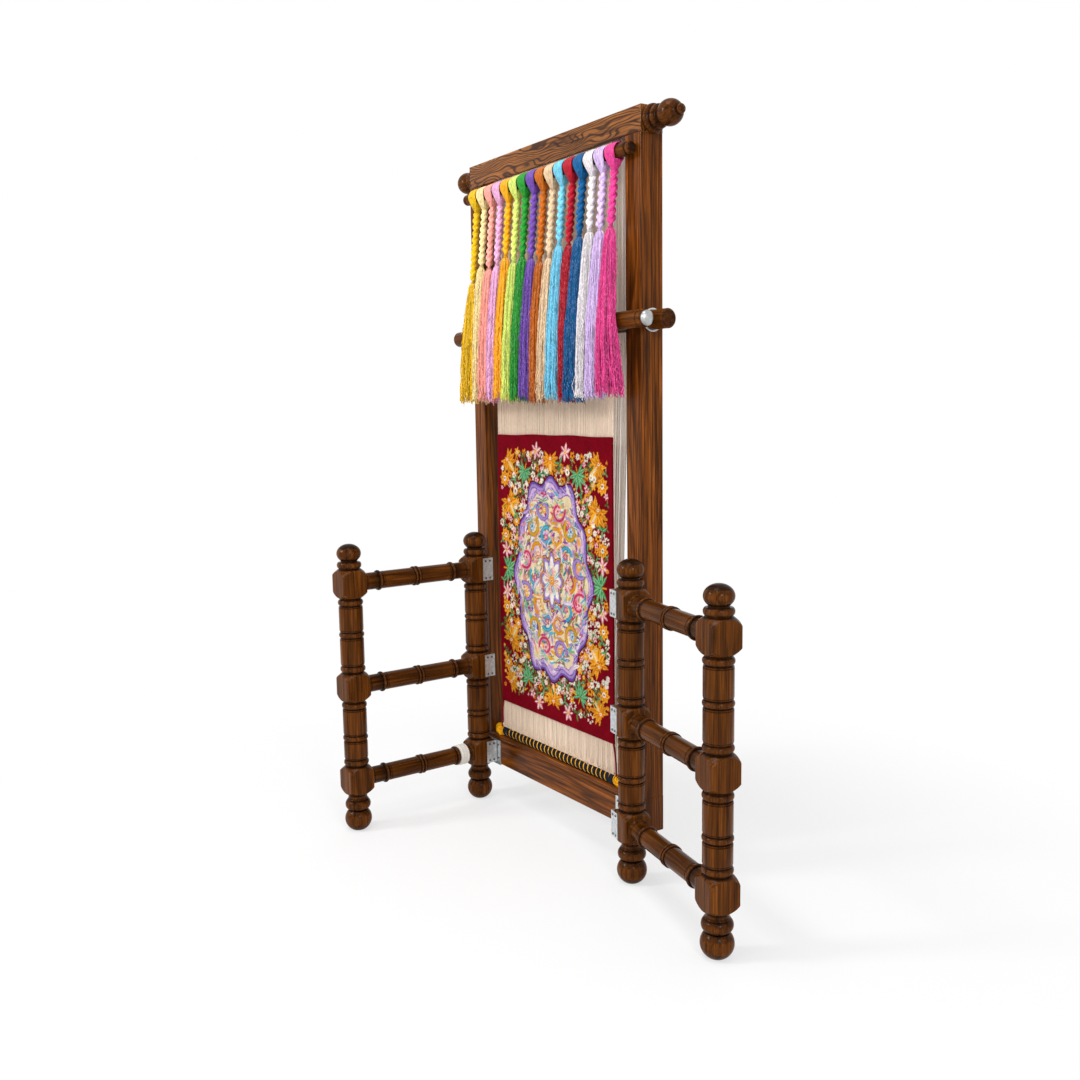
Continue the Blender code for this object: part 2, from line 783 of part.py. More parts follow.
def make_gate(side, label, angle):
    """One gate on its hinge axis. side is -1 at left and +1 at right."""
    axis = empty(label + "_gate_axis", (side * pin_x, pin_y, 0), loom)
    axis.rotation_euler = (0, 0, side * angle)
    x = -side * post_axis_x
    rear = -post_axis_y
    front = rear - gate_pitch
    make_post(label + "_rear_post", x, rear, axis)
    make_post(label + "_front_post", x, front, axis)
    rails = []
    for place, z in zip(("top", "middle", "bottom"), block_centres):
        rails.append(make_rail(label + "_" + place + "_rail", x, rear - block_half - gap,
                               front + block_half + gap, z, axis))
    # Straps: a leg on each block's inner face, a run behind the block and a knuckle.
    face = -(post_axis_x + block_half)
    leg_x = face - gap - leaf_thickness / 2
    run_y = -(knuckle_inner + knuckle_outer) / 2
    outline = curled_plate([(leg_x, -pin_to_block - strap_leg), (leg_x, run_y)], side, -1)
    third = leaf_height / 6
    past = leaf_height / 2 + 0.002
    turn = Matrix.Rotation(math.radians(-90 * side), 4, "Y")
    for place, z in zip(("top", "middle", "bottom"), block_centres):
        shape = bmesh.new()
        prism(shape, outline, z - leaf_height / 2, z + leaf_height / 2)
        strap = add_object(label + "_" + place + "_strap", shape, zinc, axis)
        boxes = bmesh.new()
        knuckle_boxes(boxes, z, ((-past, -third), (third, past)))
        cut(strap, boxes)
        heads = bmesh.new()
        for dz in (-0.022, 0.022):
            for dy in (0.007, 0.020):
                spot = Matrix.Translation((side * (leg_x - leaf_thickness / 2),
                                           -pin_to_block - dy, z + dz))
                add_screw_head(heads, spot @ turn)
        cut(strap, heads, "UNION")
    return axis


def make_frame_hinges(side, label):
    """The leaves on the frame, each with its screw heads and its fixed pin."""
    spot = empty(label + "_hinge_side", (side * pin_x, pin_y, 0), loom)
    run_y = (knuckle_inner + knuckle_outer) / 2
    third = leaf_height / 6 + 2 * gap
    turn = Matrix.Rotation(math.radians(90), 4, "X")
    foot_low = frame_underside - gap - leaf_thickness
    for place, z in zip(("top", "middle", "bottom"), block_centres):
        bottom = z - leaf_height / 2
        reach, screw_x = leaf_reach, 0.022
        if place == "bottom":
            bottom = foot_low - 0.0004
            reach, screw_x = foot_leaf_reach, foot_leaf_reach - 0.008
        shape = bmesh.new()
        prism(shape, curled_plate([(-reach, run_y)], side, 1), bottom, z + leaf_height / 2)
        leaf = add_object(label + "_" + place + "_leaf", shape, zinc, spot)
        boxes = bmesh.new()
        knuckle_boxes(boxes, z, ((-third, third),))
        cut(leaf, boxes)
        extra = bmesh.new()
        fused_pin = knuckle_inner + leaf_thickness * 0.3
        prism(extra, circle(pin_radius, 6), bottom + 0.001, z + leaf_height / 2 - 0.001)
        for low, high in ((bottom + 0.001, z - third), (z + third, z + leaf_height / 2 - 0.001)):
            prism(extra, circle(fused_pin, 6), low, high)
        for dz in (-0.018, 0.018):
            head = Matrix.Translation((-side * screw_x, knuckle_inner, z + dz))
            add_screw_head(extra, head @ turn)
        if place == "bottom":
            xs = sorted((-side * (foot_leaf_reach - 0.001), -side * (foot_leaf_reach - foot_leg_width)))
            add_box(extra, (xs[0], knuckle_inner + leaf_thickness / 2, foot_low),
                    (xs[1], knuckle_outer + foot_leg_depth, foot_low + leaf_thickness))
        cut(leaf, extra, "UNION")
    return spot


def make_rail_wrap(axis):
    """White cloth tape bound round the left bottom rail, close to the rear post."""
    inner = (rail_end_ring_radius + gap) / math.cos(math.pi / 12)
    outer = inner + rail_wrap_thickness
    y0 = -post_axis_y - block_half - rail_wrap_to_block
    y1 = y0 - rail_wrap_width
    rings = []
    for y, radius in ((y0, inner), (y0, outer), (y1, outer), (y1, inner)):
        rings.append([(post_axis_x + a, y, block_centres[2] + b) for a, b in circle(radius, 12)])
    shape = bmesh.new()
    loft(shape, rings, close_path=True)
    return add_object("rail_wrap", shape, tape, axis)


make_upright("left_upright", -1)
make_upright("right_upright", 1)
make_top_beam()
make_bottom_beam()
make_finial("left_finial", -1)
make_finial("right_finial", 1)
make_skein_rod()
make_heddle_pole()
make_pole_cap()
make_lease_pole()
make_washer("left_pole_washer", -1)
make_washer("right_pole_washer", 1)
make_warps()
make_carpet()
make_warp_rod()
make_rod_lashing()
make_rod_winding()
for index in range(hank_count):
    shade, colour = hank_colours[index]
    spot = -hank_span / 2 + hank_span * index / (hank_count - 1)
    make_hank("hank_%02d_%s" % (index + 1, shade), spot, plait_lengths[index],
              material(shade + "_yarn", colour, 0.7))
left_axis = make_gate(-1, "left", left_gate_angle)
right_axis = make_gate(1, "right", right_gate_angle)
make_frame_hinges(-1, "left")
make_frame_hinges(1, "right")
make_rail_wrap(left_axis)

# Stand the loom with the middle of its footprint at the origin.
bpy.context.view_layer.update()
graph = bpy.context.evaluated_depsgraph_get()
corners = []
for item in bpy.context.scene.objects:
    if item.type in {"MESH", "CURVE"} and not item.hide_render:
        solid = item.evaluated_get(graph)
        mesh = solid.to_mesh()
        corners += [item.matrix_world @ vertex.co for vertex in mesh.vertices]
        solid.to_mesh_clear()
low = Vector([min(corner[i] for corner in corners) for i in range(3)])
high = Vector([max(corner[i] for corner in corners) for i in range(3)])
loom.location = (-(low.x + high.x) / 2, -(low.y + high.y) / 2, -low.z)
bpy.context.view_layer.update()
print("size", [round(value, 4) for value in high - low])
print("shift", [round(value, 5) for value in loom.location])
for item in (left_axis, right_axis, bpy.data.objects["hank_01_gold_pivot"]):
    print("axis", item.name, [round(value, 5) for value in item.matrix_world.translation])
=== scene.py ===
import bpy
import math
import numpy as np
from mathutils import Matrix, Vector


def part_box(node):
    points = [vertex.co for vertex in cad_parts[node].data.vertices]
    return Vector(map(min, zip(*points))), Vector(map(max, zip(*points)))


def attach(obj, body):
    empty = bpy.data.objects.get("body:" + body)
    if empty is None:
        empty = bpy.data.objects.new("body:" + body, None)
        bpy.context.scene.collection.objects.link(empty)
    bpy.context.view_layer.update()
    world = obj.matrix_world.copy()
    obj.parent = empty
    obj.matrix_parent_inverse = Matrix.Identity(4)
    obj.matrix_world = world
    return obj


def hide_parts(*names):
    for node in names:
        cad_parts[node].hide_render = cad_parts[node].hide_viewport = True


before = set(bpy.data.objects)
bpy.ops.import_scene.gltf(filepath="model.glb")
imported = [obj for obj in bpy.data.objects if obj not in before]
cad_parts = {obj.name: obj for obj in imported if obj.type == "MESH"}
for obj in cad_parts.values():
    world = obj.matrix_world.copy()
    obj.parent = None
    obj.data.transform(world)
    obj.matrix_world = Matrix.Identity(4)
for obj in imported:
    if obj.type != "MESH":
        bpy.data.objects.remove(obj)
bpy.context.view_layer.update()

dice = np.random.default_rng(7)
mm = 0.001
tau = math.tau


# sRGB hex to the linear colour that the sockets take
def hexColour(code):
    parts = [int(code[i:i + 2], 16) / 255 for i in (1, 3, 5)]
    return tuple(c / 12.92 if c <= 0.04045 else ((c + 0.055) / 1.055) ** 2.4 for c in parts) + (1.0,)


# A socket takes a value, or a link where it is given as (node, output)
def setInputs(tree, node, inputs):
    for key, value in inputs.items():
        if isinstance(value, tuple) and isinstance(value[0], bpy.types.Node):
            tree.links.new(value[0].outputs[value[1]], node.inputs[key])
        else:
            node.inputs[key].default_value = value


# One node with its sockets, its ramp stops and its settings
def addNode(tree, kind, inputs=None, stops=(), **settings):
    node = tree.nodes.new("ShaderNode" + kind)
    for key, value in settings.items():
        setattr(node, key, value)
    setInputs(tree, node, inputs or {})
    if stops:
        ramp = node.color_ramp
        while len(ramp.elements) < len(stops):
            ramp.elements.new(0.5)
        for element, (place, code) in zip(ramp.elements, stops):
            element.position = place
            element.color = hexColour(code)
    return node


def newMaterial(name, inputs):
    material = bpy.data.materials.new(name)
    material.use_nodes = True
    tree = material.node_tree
    shader = tree.nodes["Principled BSDF"]
    setInputs(tree, shader, inputs)
    return material, tree, shader


def addObject(name, data, matrix=None):
    made = bpy.data.objects.new(name, data)
    bpy.context.scene.collection.objects.link(made)
    if matrix:
        made.matrix_world = matrix
    return made


# Where a lamp or camera stands: its side, its top and the way it looks
def standing(side, top, ahead, place):
    return Matrix([[side[i], top[i], -ahead[i], place[i]] for i in range(3)] + [[0, 0, 0, 1]])


def boxOf(node):
    low, high = (np.array(corner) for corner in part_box(node))
    return low, high


def middleOf(node):
    low, high = boxOf(node)
    return (low + high) / 2


def unit(vector):
    vector = np.asarray(vector, float)
    return vector / np.linalg.norm(vector, axis=-1, keepdims=True)


multiplied = {"data_type": "RGBA", "blend_type": "MULTIPLY"}

# Sizes in mm. Fibres are 1 mm apart in the real wood and drawn 2.2 mm apart to show.
wood = {"fibre": 2.2, "fibreStretch": 0.02, "streak": 9.0, "streakStretch": 0.05, "roughness": (0.13, 0.27),
        "bump": 0.3, "pooledStainAndShade": "#140803"}


# Latewood is a sine of the distance from the tree's middle, pushed about by slow noise of the
# given swing, so that a strong swing closes the lines into eyes as on a plain-sawn board
def stainedWood(name, specular, ring, swing, slowSize, slowStretch, lines, light, mid, dark):
    material, tree, shader = newMaterial(name, {"Specular IOR Level": specular})
    grain = addNode(tree, "Attribute", attribute_name="grain")
    grooveStainAndShade = addNode(tree, "Attribute", attribute_name="grooveStainAndShade")
    noises = []
    for size, stretch, detail, soft in ((slowSize, slowStretch, 1.0, 0.4),
                                        (wood["fibre"], wood["fibreStretch"], 4, 0.66),
                                        (wood["streak"], wood["streakStretch"], 3, 0.55)):
        drawn = addNode(tree, "Mapping", {"Vector": (grain, "Vector"), "Scale": (1, 1, stretch)})
        noises.append(addNode(tree, "TexNoise", {"Vector": (drawn, 0), "Scale": 1 / (size * mm),
                                                 "Detail": detail, "Roughness": soft}))
    slow, fibres, streaks = noises
    centred = addNode(tree, "Math", {0: (slow, "Fac"), 1: 0.5}, operation="SUBTRACT")
    flat = addNode(tree, "VectorMath", {0: (grain, "Vector"), 1: (1, 1, 0)}, operation="MULTIPLY")
    distance = addNode(tree, "VectorMath", {0: (flat, 0)}, operation="LENGTH")
    pushed = addNode(tree, "Math", {0: (centred, 0), 1: 2 * swing * mm, 2: (distance, "Value")},
                     operation="MULTIPLY_ADD")
    phase = addNode(tree, "Math", {0: (pushed, 0), 1: tau / (ring * mm)}, operation="MULTIPLY")
    rings = addNode(tree, "Math", {0: (phase, 0)}, operation="SINE")
    late = addNode(tree, "MapRange", {"Value": (rings, 0), "From Min": -0.2}, interpolation_type="SMOOTHSTEP")
    ground = addNode(tree, "ValToRGB", {"Fac": (streaks, "Fac")},
                     stops=((0.30, dark), (0.47, mid), (0.56, mid), (0.72, light)))
    lateTone = addNode(tree, "Math", {0: (late, 0), 1: lines}, operation="MULTIPLY")
    lined = addNode(tree, "Mix", {0: (lateTone, 0), 6: (ground, 0), 7: hexColour(dark)}, data_type="RGBA")
    fibreTone = addNode(tree, "MapRange", {"Value": (fibres, "Fac"), "From Min": 0.34, "From Max": 0.66,
                                           "To Min": 0.56, "To Max": 1.46})
    toned = addNode(tree, "Mix", {0: 1.0, 6: (lined, 2), 7: (fibreTone, 0)}, **multiplied)
    # grooves painted toward near black: partly stain pooled there, partly painted shade
    pooledStainAndShade = addNode(tree, "Mix", {0: (grooveStainAndShade, "Fac"), 6: (toned, 2), 7: hexColour(wood["pooledStainAndShade"])}, data_type="RGBA")
    dull, duller = wood["roughness"]
    rough = addNode(tree, "MapRange", {"Value": (fibres, "Fac"), "To Min": dull, "To Max": duller})
    height = addNode(tree, "Math", {0: (late, 0), 1: -0.4, 2: (fibres, "Fac")}, operation="MULTIPLY_ADD")
    bump = addNode(tree, "Bump", {"Height": (height, 0), "Strength": 0.3, "Distance": wood["bump"] * mm})
    setInputs(tree, shader, {"Base Color": (pooledStainAndShade, 2), "Roughness": (rough, 0), "Normal": (bump, 0)})
    return material


# Crystal patches about 7 mm across, cloudy in tone and gloss, over a rolled grit of 0.8 mm
def metal(name, base, roughness):
    material, tree, shader = newMaterial(name, {"Metallic": 1.0, "Roughness": roughness})
    place = addNode(tree, "TexCoord")
    patches = addNode(tree, "TexNoise", {"Vector": (place, "Object"), "Scale": 1 / (7 * mm), "Detail": 4,
                                         "Roughness": 0.6})
    tone = addNode(tree, "MapRange", {"Value": (patches, "Fac"), "From Min": 0.3, "From Max": 0.7,
                                      "To Min": 0.72, "To Max": 1.12})
    colour = addNode(tree, "Mix", {0: 1.0, 6: hexColour(base), 7: (tone, 0)}, **multiplied)
    grit = addNode(tree, "TexNoise", {"Vector": (place, "Object"), "Scale": 1 / (0.8 * mm), "Detail": 2})
    gloss = addNode(tree, "MapRange", {"Value": (patches, "Fac"), "To Min": roughness - 0.08,
                                       "To Max": roughness + 0.14})
    bump = addNode(tree, "Bump", {"Height": (grit, "Fac"), "Strength": 0.2, "Distance": 0.15 * mm})
    setInputs(tree, shader, {"Base Color": (colour, 2), "Roughness": (gloss, 0), "Normal": (bump, 0)})
    return material


# tint is a number for each strand, which in the hanks also paints light and shade; grain runs along the strand, and
# loose is 1 where threads hang free and get a painted glint.
# free and glint. Fibres of 0.02 mm can't show, so streaks of fibre mm and curls of 2.6 mm stand for them.
def yarn(name, code, sheen=0.02, roughness=0.4, spread=0.55, fibre=0.9, paintedGlint=0.0):
    material, tree, shader = newMaterial(name, {"Roughness": roughness, "Specular IOR Level": 0.16,
                                                "Sheen Weight": sheen, "Sheen Roughness": 0.35})
    tint, grain, loose = (addNode(tree, "Attribute", attribute_name=key) for key in ("tint", "grain", "loose"))
    noises = []
    for size, stretch, soft in ((fibre, 0.06, 0.5), (2.6, 0.45, 0.7)):
        drawn = addNode(tree, "Mapping", {"Vector": (grain, "Vector"), "Scale": (1, 1, stretch)})
        noises.append(addNode(tree, "TexNoise", {"Vector": (drawn, 0), "Scale": 1 / (size * mm), "Detail": 2,
                                                 "Roughness": soft}))
    fibres, curl = noises
    mixed = addNode(tree, "Math", {0: (fibres, "Fac"), 1: 0.55, 2: (tint, "Fac")}, operation="MULTIPLY_ADD")
    tone = addNode(tree, "MapRange", {"Value": (mixed, 0), "From Min": 0.2, "From Max": 1.3, "To Min": 1 - spread,
                                      "To Max": 1 + spread * 0.7})
    specks = addNode(tree, "MapRange", {"Value": (curl, "Fac"), "From Min": 0.36, "From Max": 0.64,
                                        "To Min": 1 - spread * 0.6, "To Max": 1 + spread * 0.5})
    both = addNode(tree, "Math", {0: (tone, 0), 1: (specks, 0)}, operation="MULTIPLY")
    colour = addNode(tree, "Mix", {0: 1.0, 6: hexColour(code), 7: (both, 0)}, **multiplied)
    # painted highlight: on loose threads the peaks of the curl noise are mixed toward pale cream
    paintedShine = addNode(tree, "MapRange", {"Value": (curl, "Fac"), "From Min": 0.52, "From Max": 0.7, "To Max": paintedGlint})
    paintedShineOnLoose = addNode(tree, "Math", {0: (paintedShine, 0), 1: (loose, "Fac")}, operation="MULTIPLY")
    pale = addNode(tree, "Mix", {0: (paintedShineOnLoose, 0), 6: (colour, 2), 7: hexColour("#fbf6f2")}, data_type="RGBA")
    bump = addNode(tree, "Bump", {"Height": (fibres, "Fac"), "Strength": 0.6, "Distance": 0.4 * mm})
    setInputs(tree, shader, {"Base Color": (pale, 2), "Normal": (bump, 0)})
    return material


# The dye of each knot is a vertex colour, roughened by tufts about 2 mm across and slow clouds of 22 mm
def woolPile(name):
    material, tree, shader = newMaterial(name, {"Roughness": 0.95, "Specular IOR Level": 0.04})
    dye = addNode(tree, "Attribute", attribute_name="dye")
    place = addNode(tree, "TexCoord")
    tufts, cloud = (addNode(tree, "TexNoise", {"Vector": (place, "Object"), "Scale": 1 / (size * mm),
                                               "Detail": detail}) for size, detail in ((2.2, 2), (22, 3)))
    both = addNode(tree, "Math", {0: (tufts, "Fac"), 1: (cloud, "Fac")}, operation="ADD")
    tone = addNode(tree, "MapRange", {"Value": (both, 0), "From Min": 0.6, "From Max": 1.4, "To Min": 0.66,
                                      "To Max": 1.2})
    colour = addNode(tree, "Mix", {0: 1.0, 6: (dye, "Color"), 7: (tone, 0)}, **multiplied)
    bump = addNode(tree, "Bump", {"Height": (tufts, "Fac"), "Strength": 0.8, "Distance": 1.2 * mm})
    setInputs(tree, shader, {"Base Color": (colour, 2), "Normal": (bump, 0)})
    return material


# Plain-sawn softwood, stained and varnished: wide dark flames and eyes on orange brown, a soft shine
boldStain = stainedWood("stained board", specular=0.15, ring=9.5, swing=58, slowSize=36, slowStretch=0.24,
                        lines=0.9, light="#a56a35", mid="#885325", dark="#331808")
# Straight-sawn softwood, stained and varnished: dark lines run down a red-brown satin face
walnutStain = stainedWood("stained softwood", specular=0.09, ring=9, swing=24, slowSize=30, slowStretch=0.07,
                          lines=0.66, light="#9c571f", mid="#713c10", dark="#371b06")
# Turned softwood, stained by brush: darker and finer lined, with the grooves painted near black, partly as pooled
# stain and partly as painted shade
turnedStain = stainedWood("stained turnings", specular=0.06, ring=8, swing=12, slowSize=30, slowStretch=0.08,
                          lines=0.42, light="#7a4516", mid="#5b310d", dark="#341a06")
# Punched and zinc plated sheet: pale dull grey with soft clouds of crystal
platedZinc = metal("zinc plated steel", "#dadedf", 0.5)
# Darker than the plates, so that the heads read as dots
screwSteel = metal("screw steel", "#6b6c6b", 0.38)
# Cast and tumbled: light grey with a broad gloss
castCap = metal("cast aluminium", "#bdbfbe", 0.34)
# Plied and undyed: matt cream, thread by thread a little lighter or darker
cottonWarp = yarn("cotton warp", "#ead4be", 0.0, 0.85, 0.12)
# The same cotton painted nearly white, as painted light on the back layer
paintedLitBackCotton = yarn("cotton warp at the back painted lit", "#fbf0e2", 0.0, 0.85, 0.1)
# Plied and dyed wool: deep red, matt and a little streaky
crimsonWool = yarn("crimson wool", "#7c051a", 0.0, 0.8)
# Twisted cord: nearly black, so that the wound turns show by their grooves
navyYarn = yarn("navy yarn", "#151a26", 0.0, 0.7)
# Dyed knitting yarn: bright golden yellow with soft dark streaks
yellowYarn = yarn("yellow yarn", "#f0ac08", 0.02, 0.7)
# Woven cotton tape: off white, dry, with a faint down
whiteTape = yarn("white cloth tape", "#e6e2da", 0.2, 0.8, 0.12, 1.6)
# Knotted and clipped wool: no gloss at all, softly mottled
pileWool = woolPile("wool pile")
print("finishes made")


def startPiece():
    keys = ("points", "quads", "tris", "grain", "tint", "grooveStainAndShade", "loose", "dye")
    return {"count": 0, **{key: [] for key in keys}}


# Joins grids of points[set, row, column] to their neighbours. Columns close on themselves,
# and each end gets a middle point, so that every set is one closed skin.
def addGrids(piece, points, grain=None, tint=0.5, grooveStainAndShade=0.0, dye=None, loose=0.0):
    points = np.asarray(points, float)
    if points.ndim == 3:
        points = points[None]
    sets, rows, cols, _ = points.shape
    first = piece["count"] + np.arange(sets)[:, None] * rows * cols
    last = first + (rows - 1) * cols
    mids = np.broadcast_to(piece["count"] + sets * rows * cols + np.arange(sets)[:, None] * 2, (sets, cols))
    i = np.arange(rows - 1)[:, None] * cols
    j = np.arange(cols)
    k = (j + 1) % cols
    quads = np.stack([i + j, i + k, i + cols + k, i + cols + j], -1).reshape(1, -1, 4)
    piece["quads"].append((quads + first[..., None]).reshape(-1, 4))
    piece["tris"] += [np.stack([mids, first + k, first + j], -1).reshape(-1, 3),
                      np.stack([mids + 1, last + j, last + k], -1).reshape(-1, 3)]

    def spread(value, width):
        value = np.asarray(value, float)
        if width == 1:
            while value.ndim < 3:
                value = value[None]
            value = np.broadcast_to(value, (sets, rows, cols))[..., None]
        elif value.ndim == 3:
            value = value[None]
        value = np.broadcast_to(value, (sets, rows, cols, width))
        ends = value[:, [0, -1]].mean(2)
        return np.concatenate([value.reshape(-1, width), ends.reshape(-1, width)])

    layers = {"points": (points, 3), "grain": (points if grain is None else grain, 3), "tint": (tint, 1),
              "grooveStainAndShade": (grooveStainAndShade, 1), "loose": (loose, 1)}
    if dye is not None:
        layers["dye"] = (dye, 4)
    for key, (value, width) in layers.items():
        piece[key].append(spread(value, width))
    piece["count"] += (rows * cols + 2) * sets


def finishPiece(piece, name, body, material, nodes=(), sharp=40):
    points, quads, tris = (np.concatenate(piece[key]) for key in ("points", "quads", "tris"))
    loops = np.concatenate([quads.ravel(), tris.ravel()]).astype(np.int32)
    starts = np.concatenate([np.arange(len(quads)) * 4, len(quads) * 4 + np.arange(len(tris)) * 3])
    mesh = bpy.data.meshes.new(name)
    mesh.vertices.add(len(points))
    mesh.vertices.foreach_set("co", points.ravel())
    mesh.loops.add(len(loops))
    mesh.loops.foreach_set("vertex_index", loops)
    mesh.polygons.add(len(starts))
    mesh.polygons.foreach_set("loop_start", starts.astype(np.int32))
    mesh.update(calc_edges=True)
    mesh.validate()
    for key, kind, word in (("grain", "FLOAT_VECTOR", "vector"), ("tint", "FLOAT", "value"),
                            ("grooveStainAndShade", "FLOAT", "value"), ("loose", "FLOAT", "value"),
                            ("dye", "FLOAT_COLOR", "color")):
        if piece[key]:
            mesh.attributes.new(key, kind, "POINT").data.foreach_set(word, np.concatenate(piece[key]).ravel())
    mesh.shade_smooth()
    mesh.set_sharp_from_angle(angle=math.radians(sharp))
    mesh.materials.append(material)
    made = addObject(name, mesh)
    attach(made, body)
    if nodes:
        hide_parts(*nodes)
    return made


# A profile from runs: line and ease go from one radius to the next, arc swells by h round a base
def profile(runs):
    s, r = [], []
    place = 0.0
    for kind, length, *sizes in runs:
        if kind == "line":                          # with a supporting point close to each end
            close = min(0.5, 0.3 / length)
            t = np.array([0, close, 1 - close, 1])
            radius = sizes[0] + (sizes[1] - sizes[0]) * t
        elif kind == "ease":                        # smooth step
            t = np.linspace(0, 1, 8)
            radius = sizes[0] + (sizes[1] - sizes[0]) * t * t * (3 - 2 * t)
        elif kind == "shoulder":                    # a slightly swelled cone, rising or falling
            t = np.linspace(0, 1, 22)
            rise = 0.42 * np.sin(t * math.pi / 2) + 0.58 * t
            radius = sizes[0] + (sizes[1] - sizes[0]) * rise[::sizes[2]]
        else:                                       # base + h cos(angle)
            base, h, low, high = sizes
            angle = np.radians(np.linspace(low, high, 29 if length > 30 else 13))
            t = (np.sin(angle) - math.sin(math.radians(low)))
            t = t / (math.sin(math.radians(high)) - math.sin(math.radians(low)))
            radius = base + h * np.cos(angle)
        s.append(place + t * length)
        r.append(radius)
        place += length
    s, r = np.concatenate(s), np.concatenate(r)
    keep = np.concatenate([[True], np.diff(s) > 0.02])
    return s[keep] * mm, r[keep] * mm


# The same runs from the other end
def mirrored(runs):
    back = []
    for kind, length, *sizes in reversed(runs):
        back.append((kind, length, sizes[0], sizes[1], -sizes[3], -sizes[2]) if kind == "arc"
                    else (kind, length, sizes[1], sizes[0]))
    return tuple(back)


# A turning: at distance s along the axis the radius is r, for each angle a round it.
# grain keeps the wood's own place, with its third number along the turning.
def turning(start, along, across, s, r, sides, squareHalf=None, seed=(0.05, 0.0, 0.0)):
    along, across = unit(along), unit(across)
    third = np.cross(along, across)
    a = tau * np.arange(sides) / sides
    r = np.broadcast_to(np.asarray(r)[:, None], (len(s), sides))
    if squareHalf:                                  # the lathe cuts into a square with eased corners
        square = squareHalf / (np.abs(np.cos(a)) ** 26 + np.abs(np.sin(a)) ** 26) ** (1 / 26)
        r = np.minimum(r, square)
    x, y = r * np.cos(a), r * np.sin(a)
    points = np.asarray(start) + s[:, None, None] * along + x[..., None] * across + y[..., None] * third
    grain = np.stack([x, y, np.broadcast_to(s[:, None], x.shape)], -1) + np.asarray(seed)
    return points, grain


# How deep a point lies under its neighbours within 3.2 mm, from 0 to 1 at full mm; the wood is painted near black by
# it, partly as stain pooled in grooves and partly as painted shade
def grooveDepth(s, r, cap, full):
    r = np.minimum(r, cap * mm)
    near = np.abs(s[:, None] - s[None]) < 3.2 * mm
    highest = np.where(near, r[None], 0).max(1)
    return np.clip((highest - r) / (full * mm), 0, 1) * 0.85


# A whole turned piece; the pool numbers are grooveDepth's cap and full, for the pooled stain and painted shade in
# grooves, and seed is its place in the log
def turnPiece(name, node, body, place, along, across, runs, sides, poolAndShade=None, seed=(0.05, 0.0, 0.0),
              squareHalf=None, material=turnedStain):
    s, r = profile(runs)
    points, grain = turning(place, along, across, s, r, sides, squareHalf, seed)
    piece = startPiece()
    addGrids(piece, points, grain, grooveStainAndShade=grooveDepth(s, r, *poolAndShade)[:, None] if poolAndShade else 0.0)
    finishPiece(piece, name, body, material, (node,))


# Tubes along paths[set, row]: a ring of the tube's sides square to each path
def addTubes(piece, paths, radius, sides, ref, tint, deep=1.0, loose=0.0):
    paths = np.asarray(paths, float)
    along = unit(np.gradient(paths, axis=1))
    a = unit(np.cross(np.asarray(ref, float), along))
    b = np.cross(along, a)
    angle = tau * np.arange(sides) / sides
    radius = np.broadcast_to(radius, paths.shape[:2])[..., None]
    x, y = radius * np.cos(angle), radius * np.sin(angle) * deep
    points = paths[:, :, None] + x[..., None] * a[:, :, None] + y[..., None] * b[:, :, None]
    steps = np.linalg.norm(np.diff(paths, axis=1), axis=-1)
    run = np.concatenate([np.zeros((len(paths), 1)), np.cumsum(steps, 1)], 1)
    grain = np.stack([x, y, np.broadcast_to(run[..., None], x.shape)], -1) + dice.random((len(paths), 1, 1, 3))
    tint = np.asarray(tint, float)
    if tint.ndim:
        tint = tint.reshape(tint.shape + (1,) * (3 - tint.ndim))
    addGrids(piece, points, grain, tint, loose=loose)


# An outline of corners, each eased by a small curve with a supporting point on both sides
def easedOutline(corners, ease):
    corners = np.asarray(corners, float)
    before, after = np.roll(corners, 1, 0), np.roll(corners, -1, 0)
    toBefore, toAfter = before - corners, after - corners
    lengthA, lengthB = (np.linalg.norm(v, axis=1, keepdims=True) for v in (toBefore, toAfter))
    cut = np.minimum(ease, 0.3 * np.minimum(lengthA, lengthB))
    a, b = corners + toBefore / lengthA * cut, corners + toAfter / lengthB * cut
    t = np.linspace(0, 1, 5)[None, :, None]
    curve = (1 - t) ** 2 * a[:, None] + 2 * t * (1 - t) * corners[:, None] + t ** 2 * b[:, None]
    outerA = a + toBefore / lengthA * cut * 0.3
    outerB = b + toAfter / lengthB * cut * 0.3
    return np.concatenate([outerA[:, None], curve, outerB[:, None]], 1).reshape(-1, 2)


# A bar: an outline carried along one axis, drawn in by a quarter round at both ends. ends gives, for a
# beam, the middle and seed of the upright at each end, whose grain carries on over the beam's end.
def bar(outline, low, high, axis, ease, seed, ends=()):
    t = np.array([0, 0.12, 0.35, 0.65, 1.0, 1.3])
    inset = ease * (1 - np.sqrt(1 - (1 - np.minimum(t, 1)) ** 2))
    s = np.concatenate([low + t * ease, (high - t * ease)[::-1]])
    inset = np.concatenate([inset, inset[::-1]])
    centre = (outline.max(0) + outline.min(0)) / 2
    half = (outline.max(0) - outline.min(0)) / 2
    scale = 1 - inset[:, None] / half
    flat = centre + (outline - centre)[None] * scale[:, None]
    s = np.broadcast_to(s[:, None], flat.shape[:2])
    order = {0: (s, flat[..., 0], flat[..., 1]), 2: (flat[..., 0], flat[..., 1], s)}[axis]
    grain = np.stack([flat[..., 0] - centre[0], flat[..., 1] - centre[1], s], -1) + np.asarray(seed)
    for row, (middle, endSeed) in zip((0, len(s) - 1), ends):
        across = np.stack([s[row] - middle[0], flat[row, :, 0] - middle[1], flat[row, :, 1]], -1)
        grain[row] = across + np.asarray(endSeed)
    return np.stack(order, -1), grain


camera = {"place": (2.0111, -1.2700, 1.0310), "yaw": 56.586, "pitch": 7.401, "roll": -0.889,
          "focalPixels": 1100.0, "imageCentreY": 548.8, "imageSize": 1080, "sensor": 36}


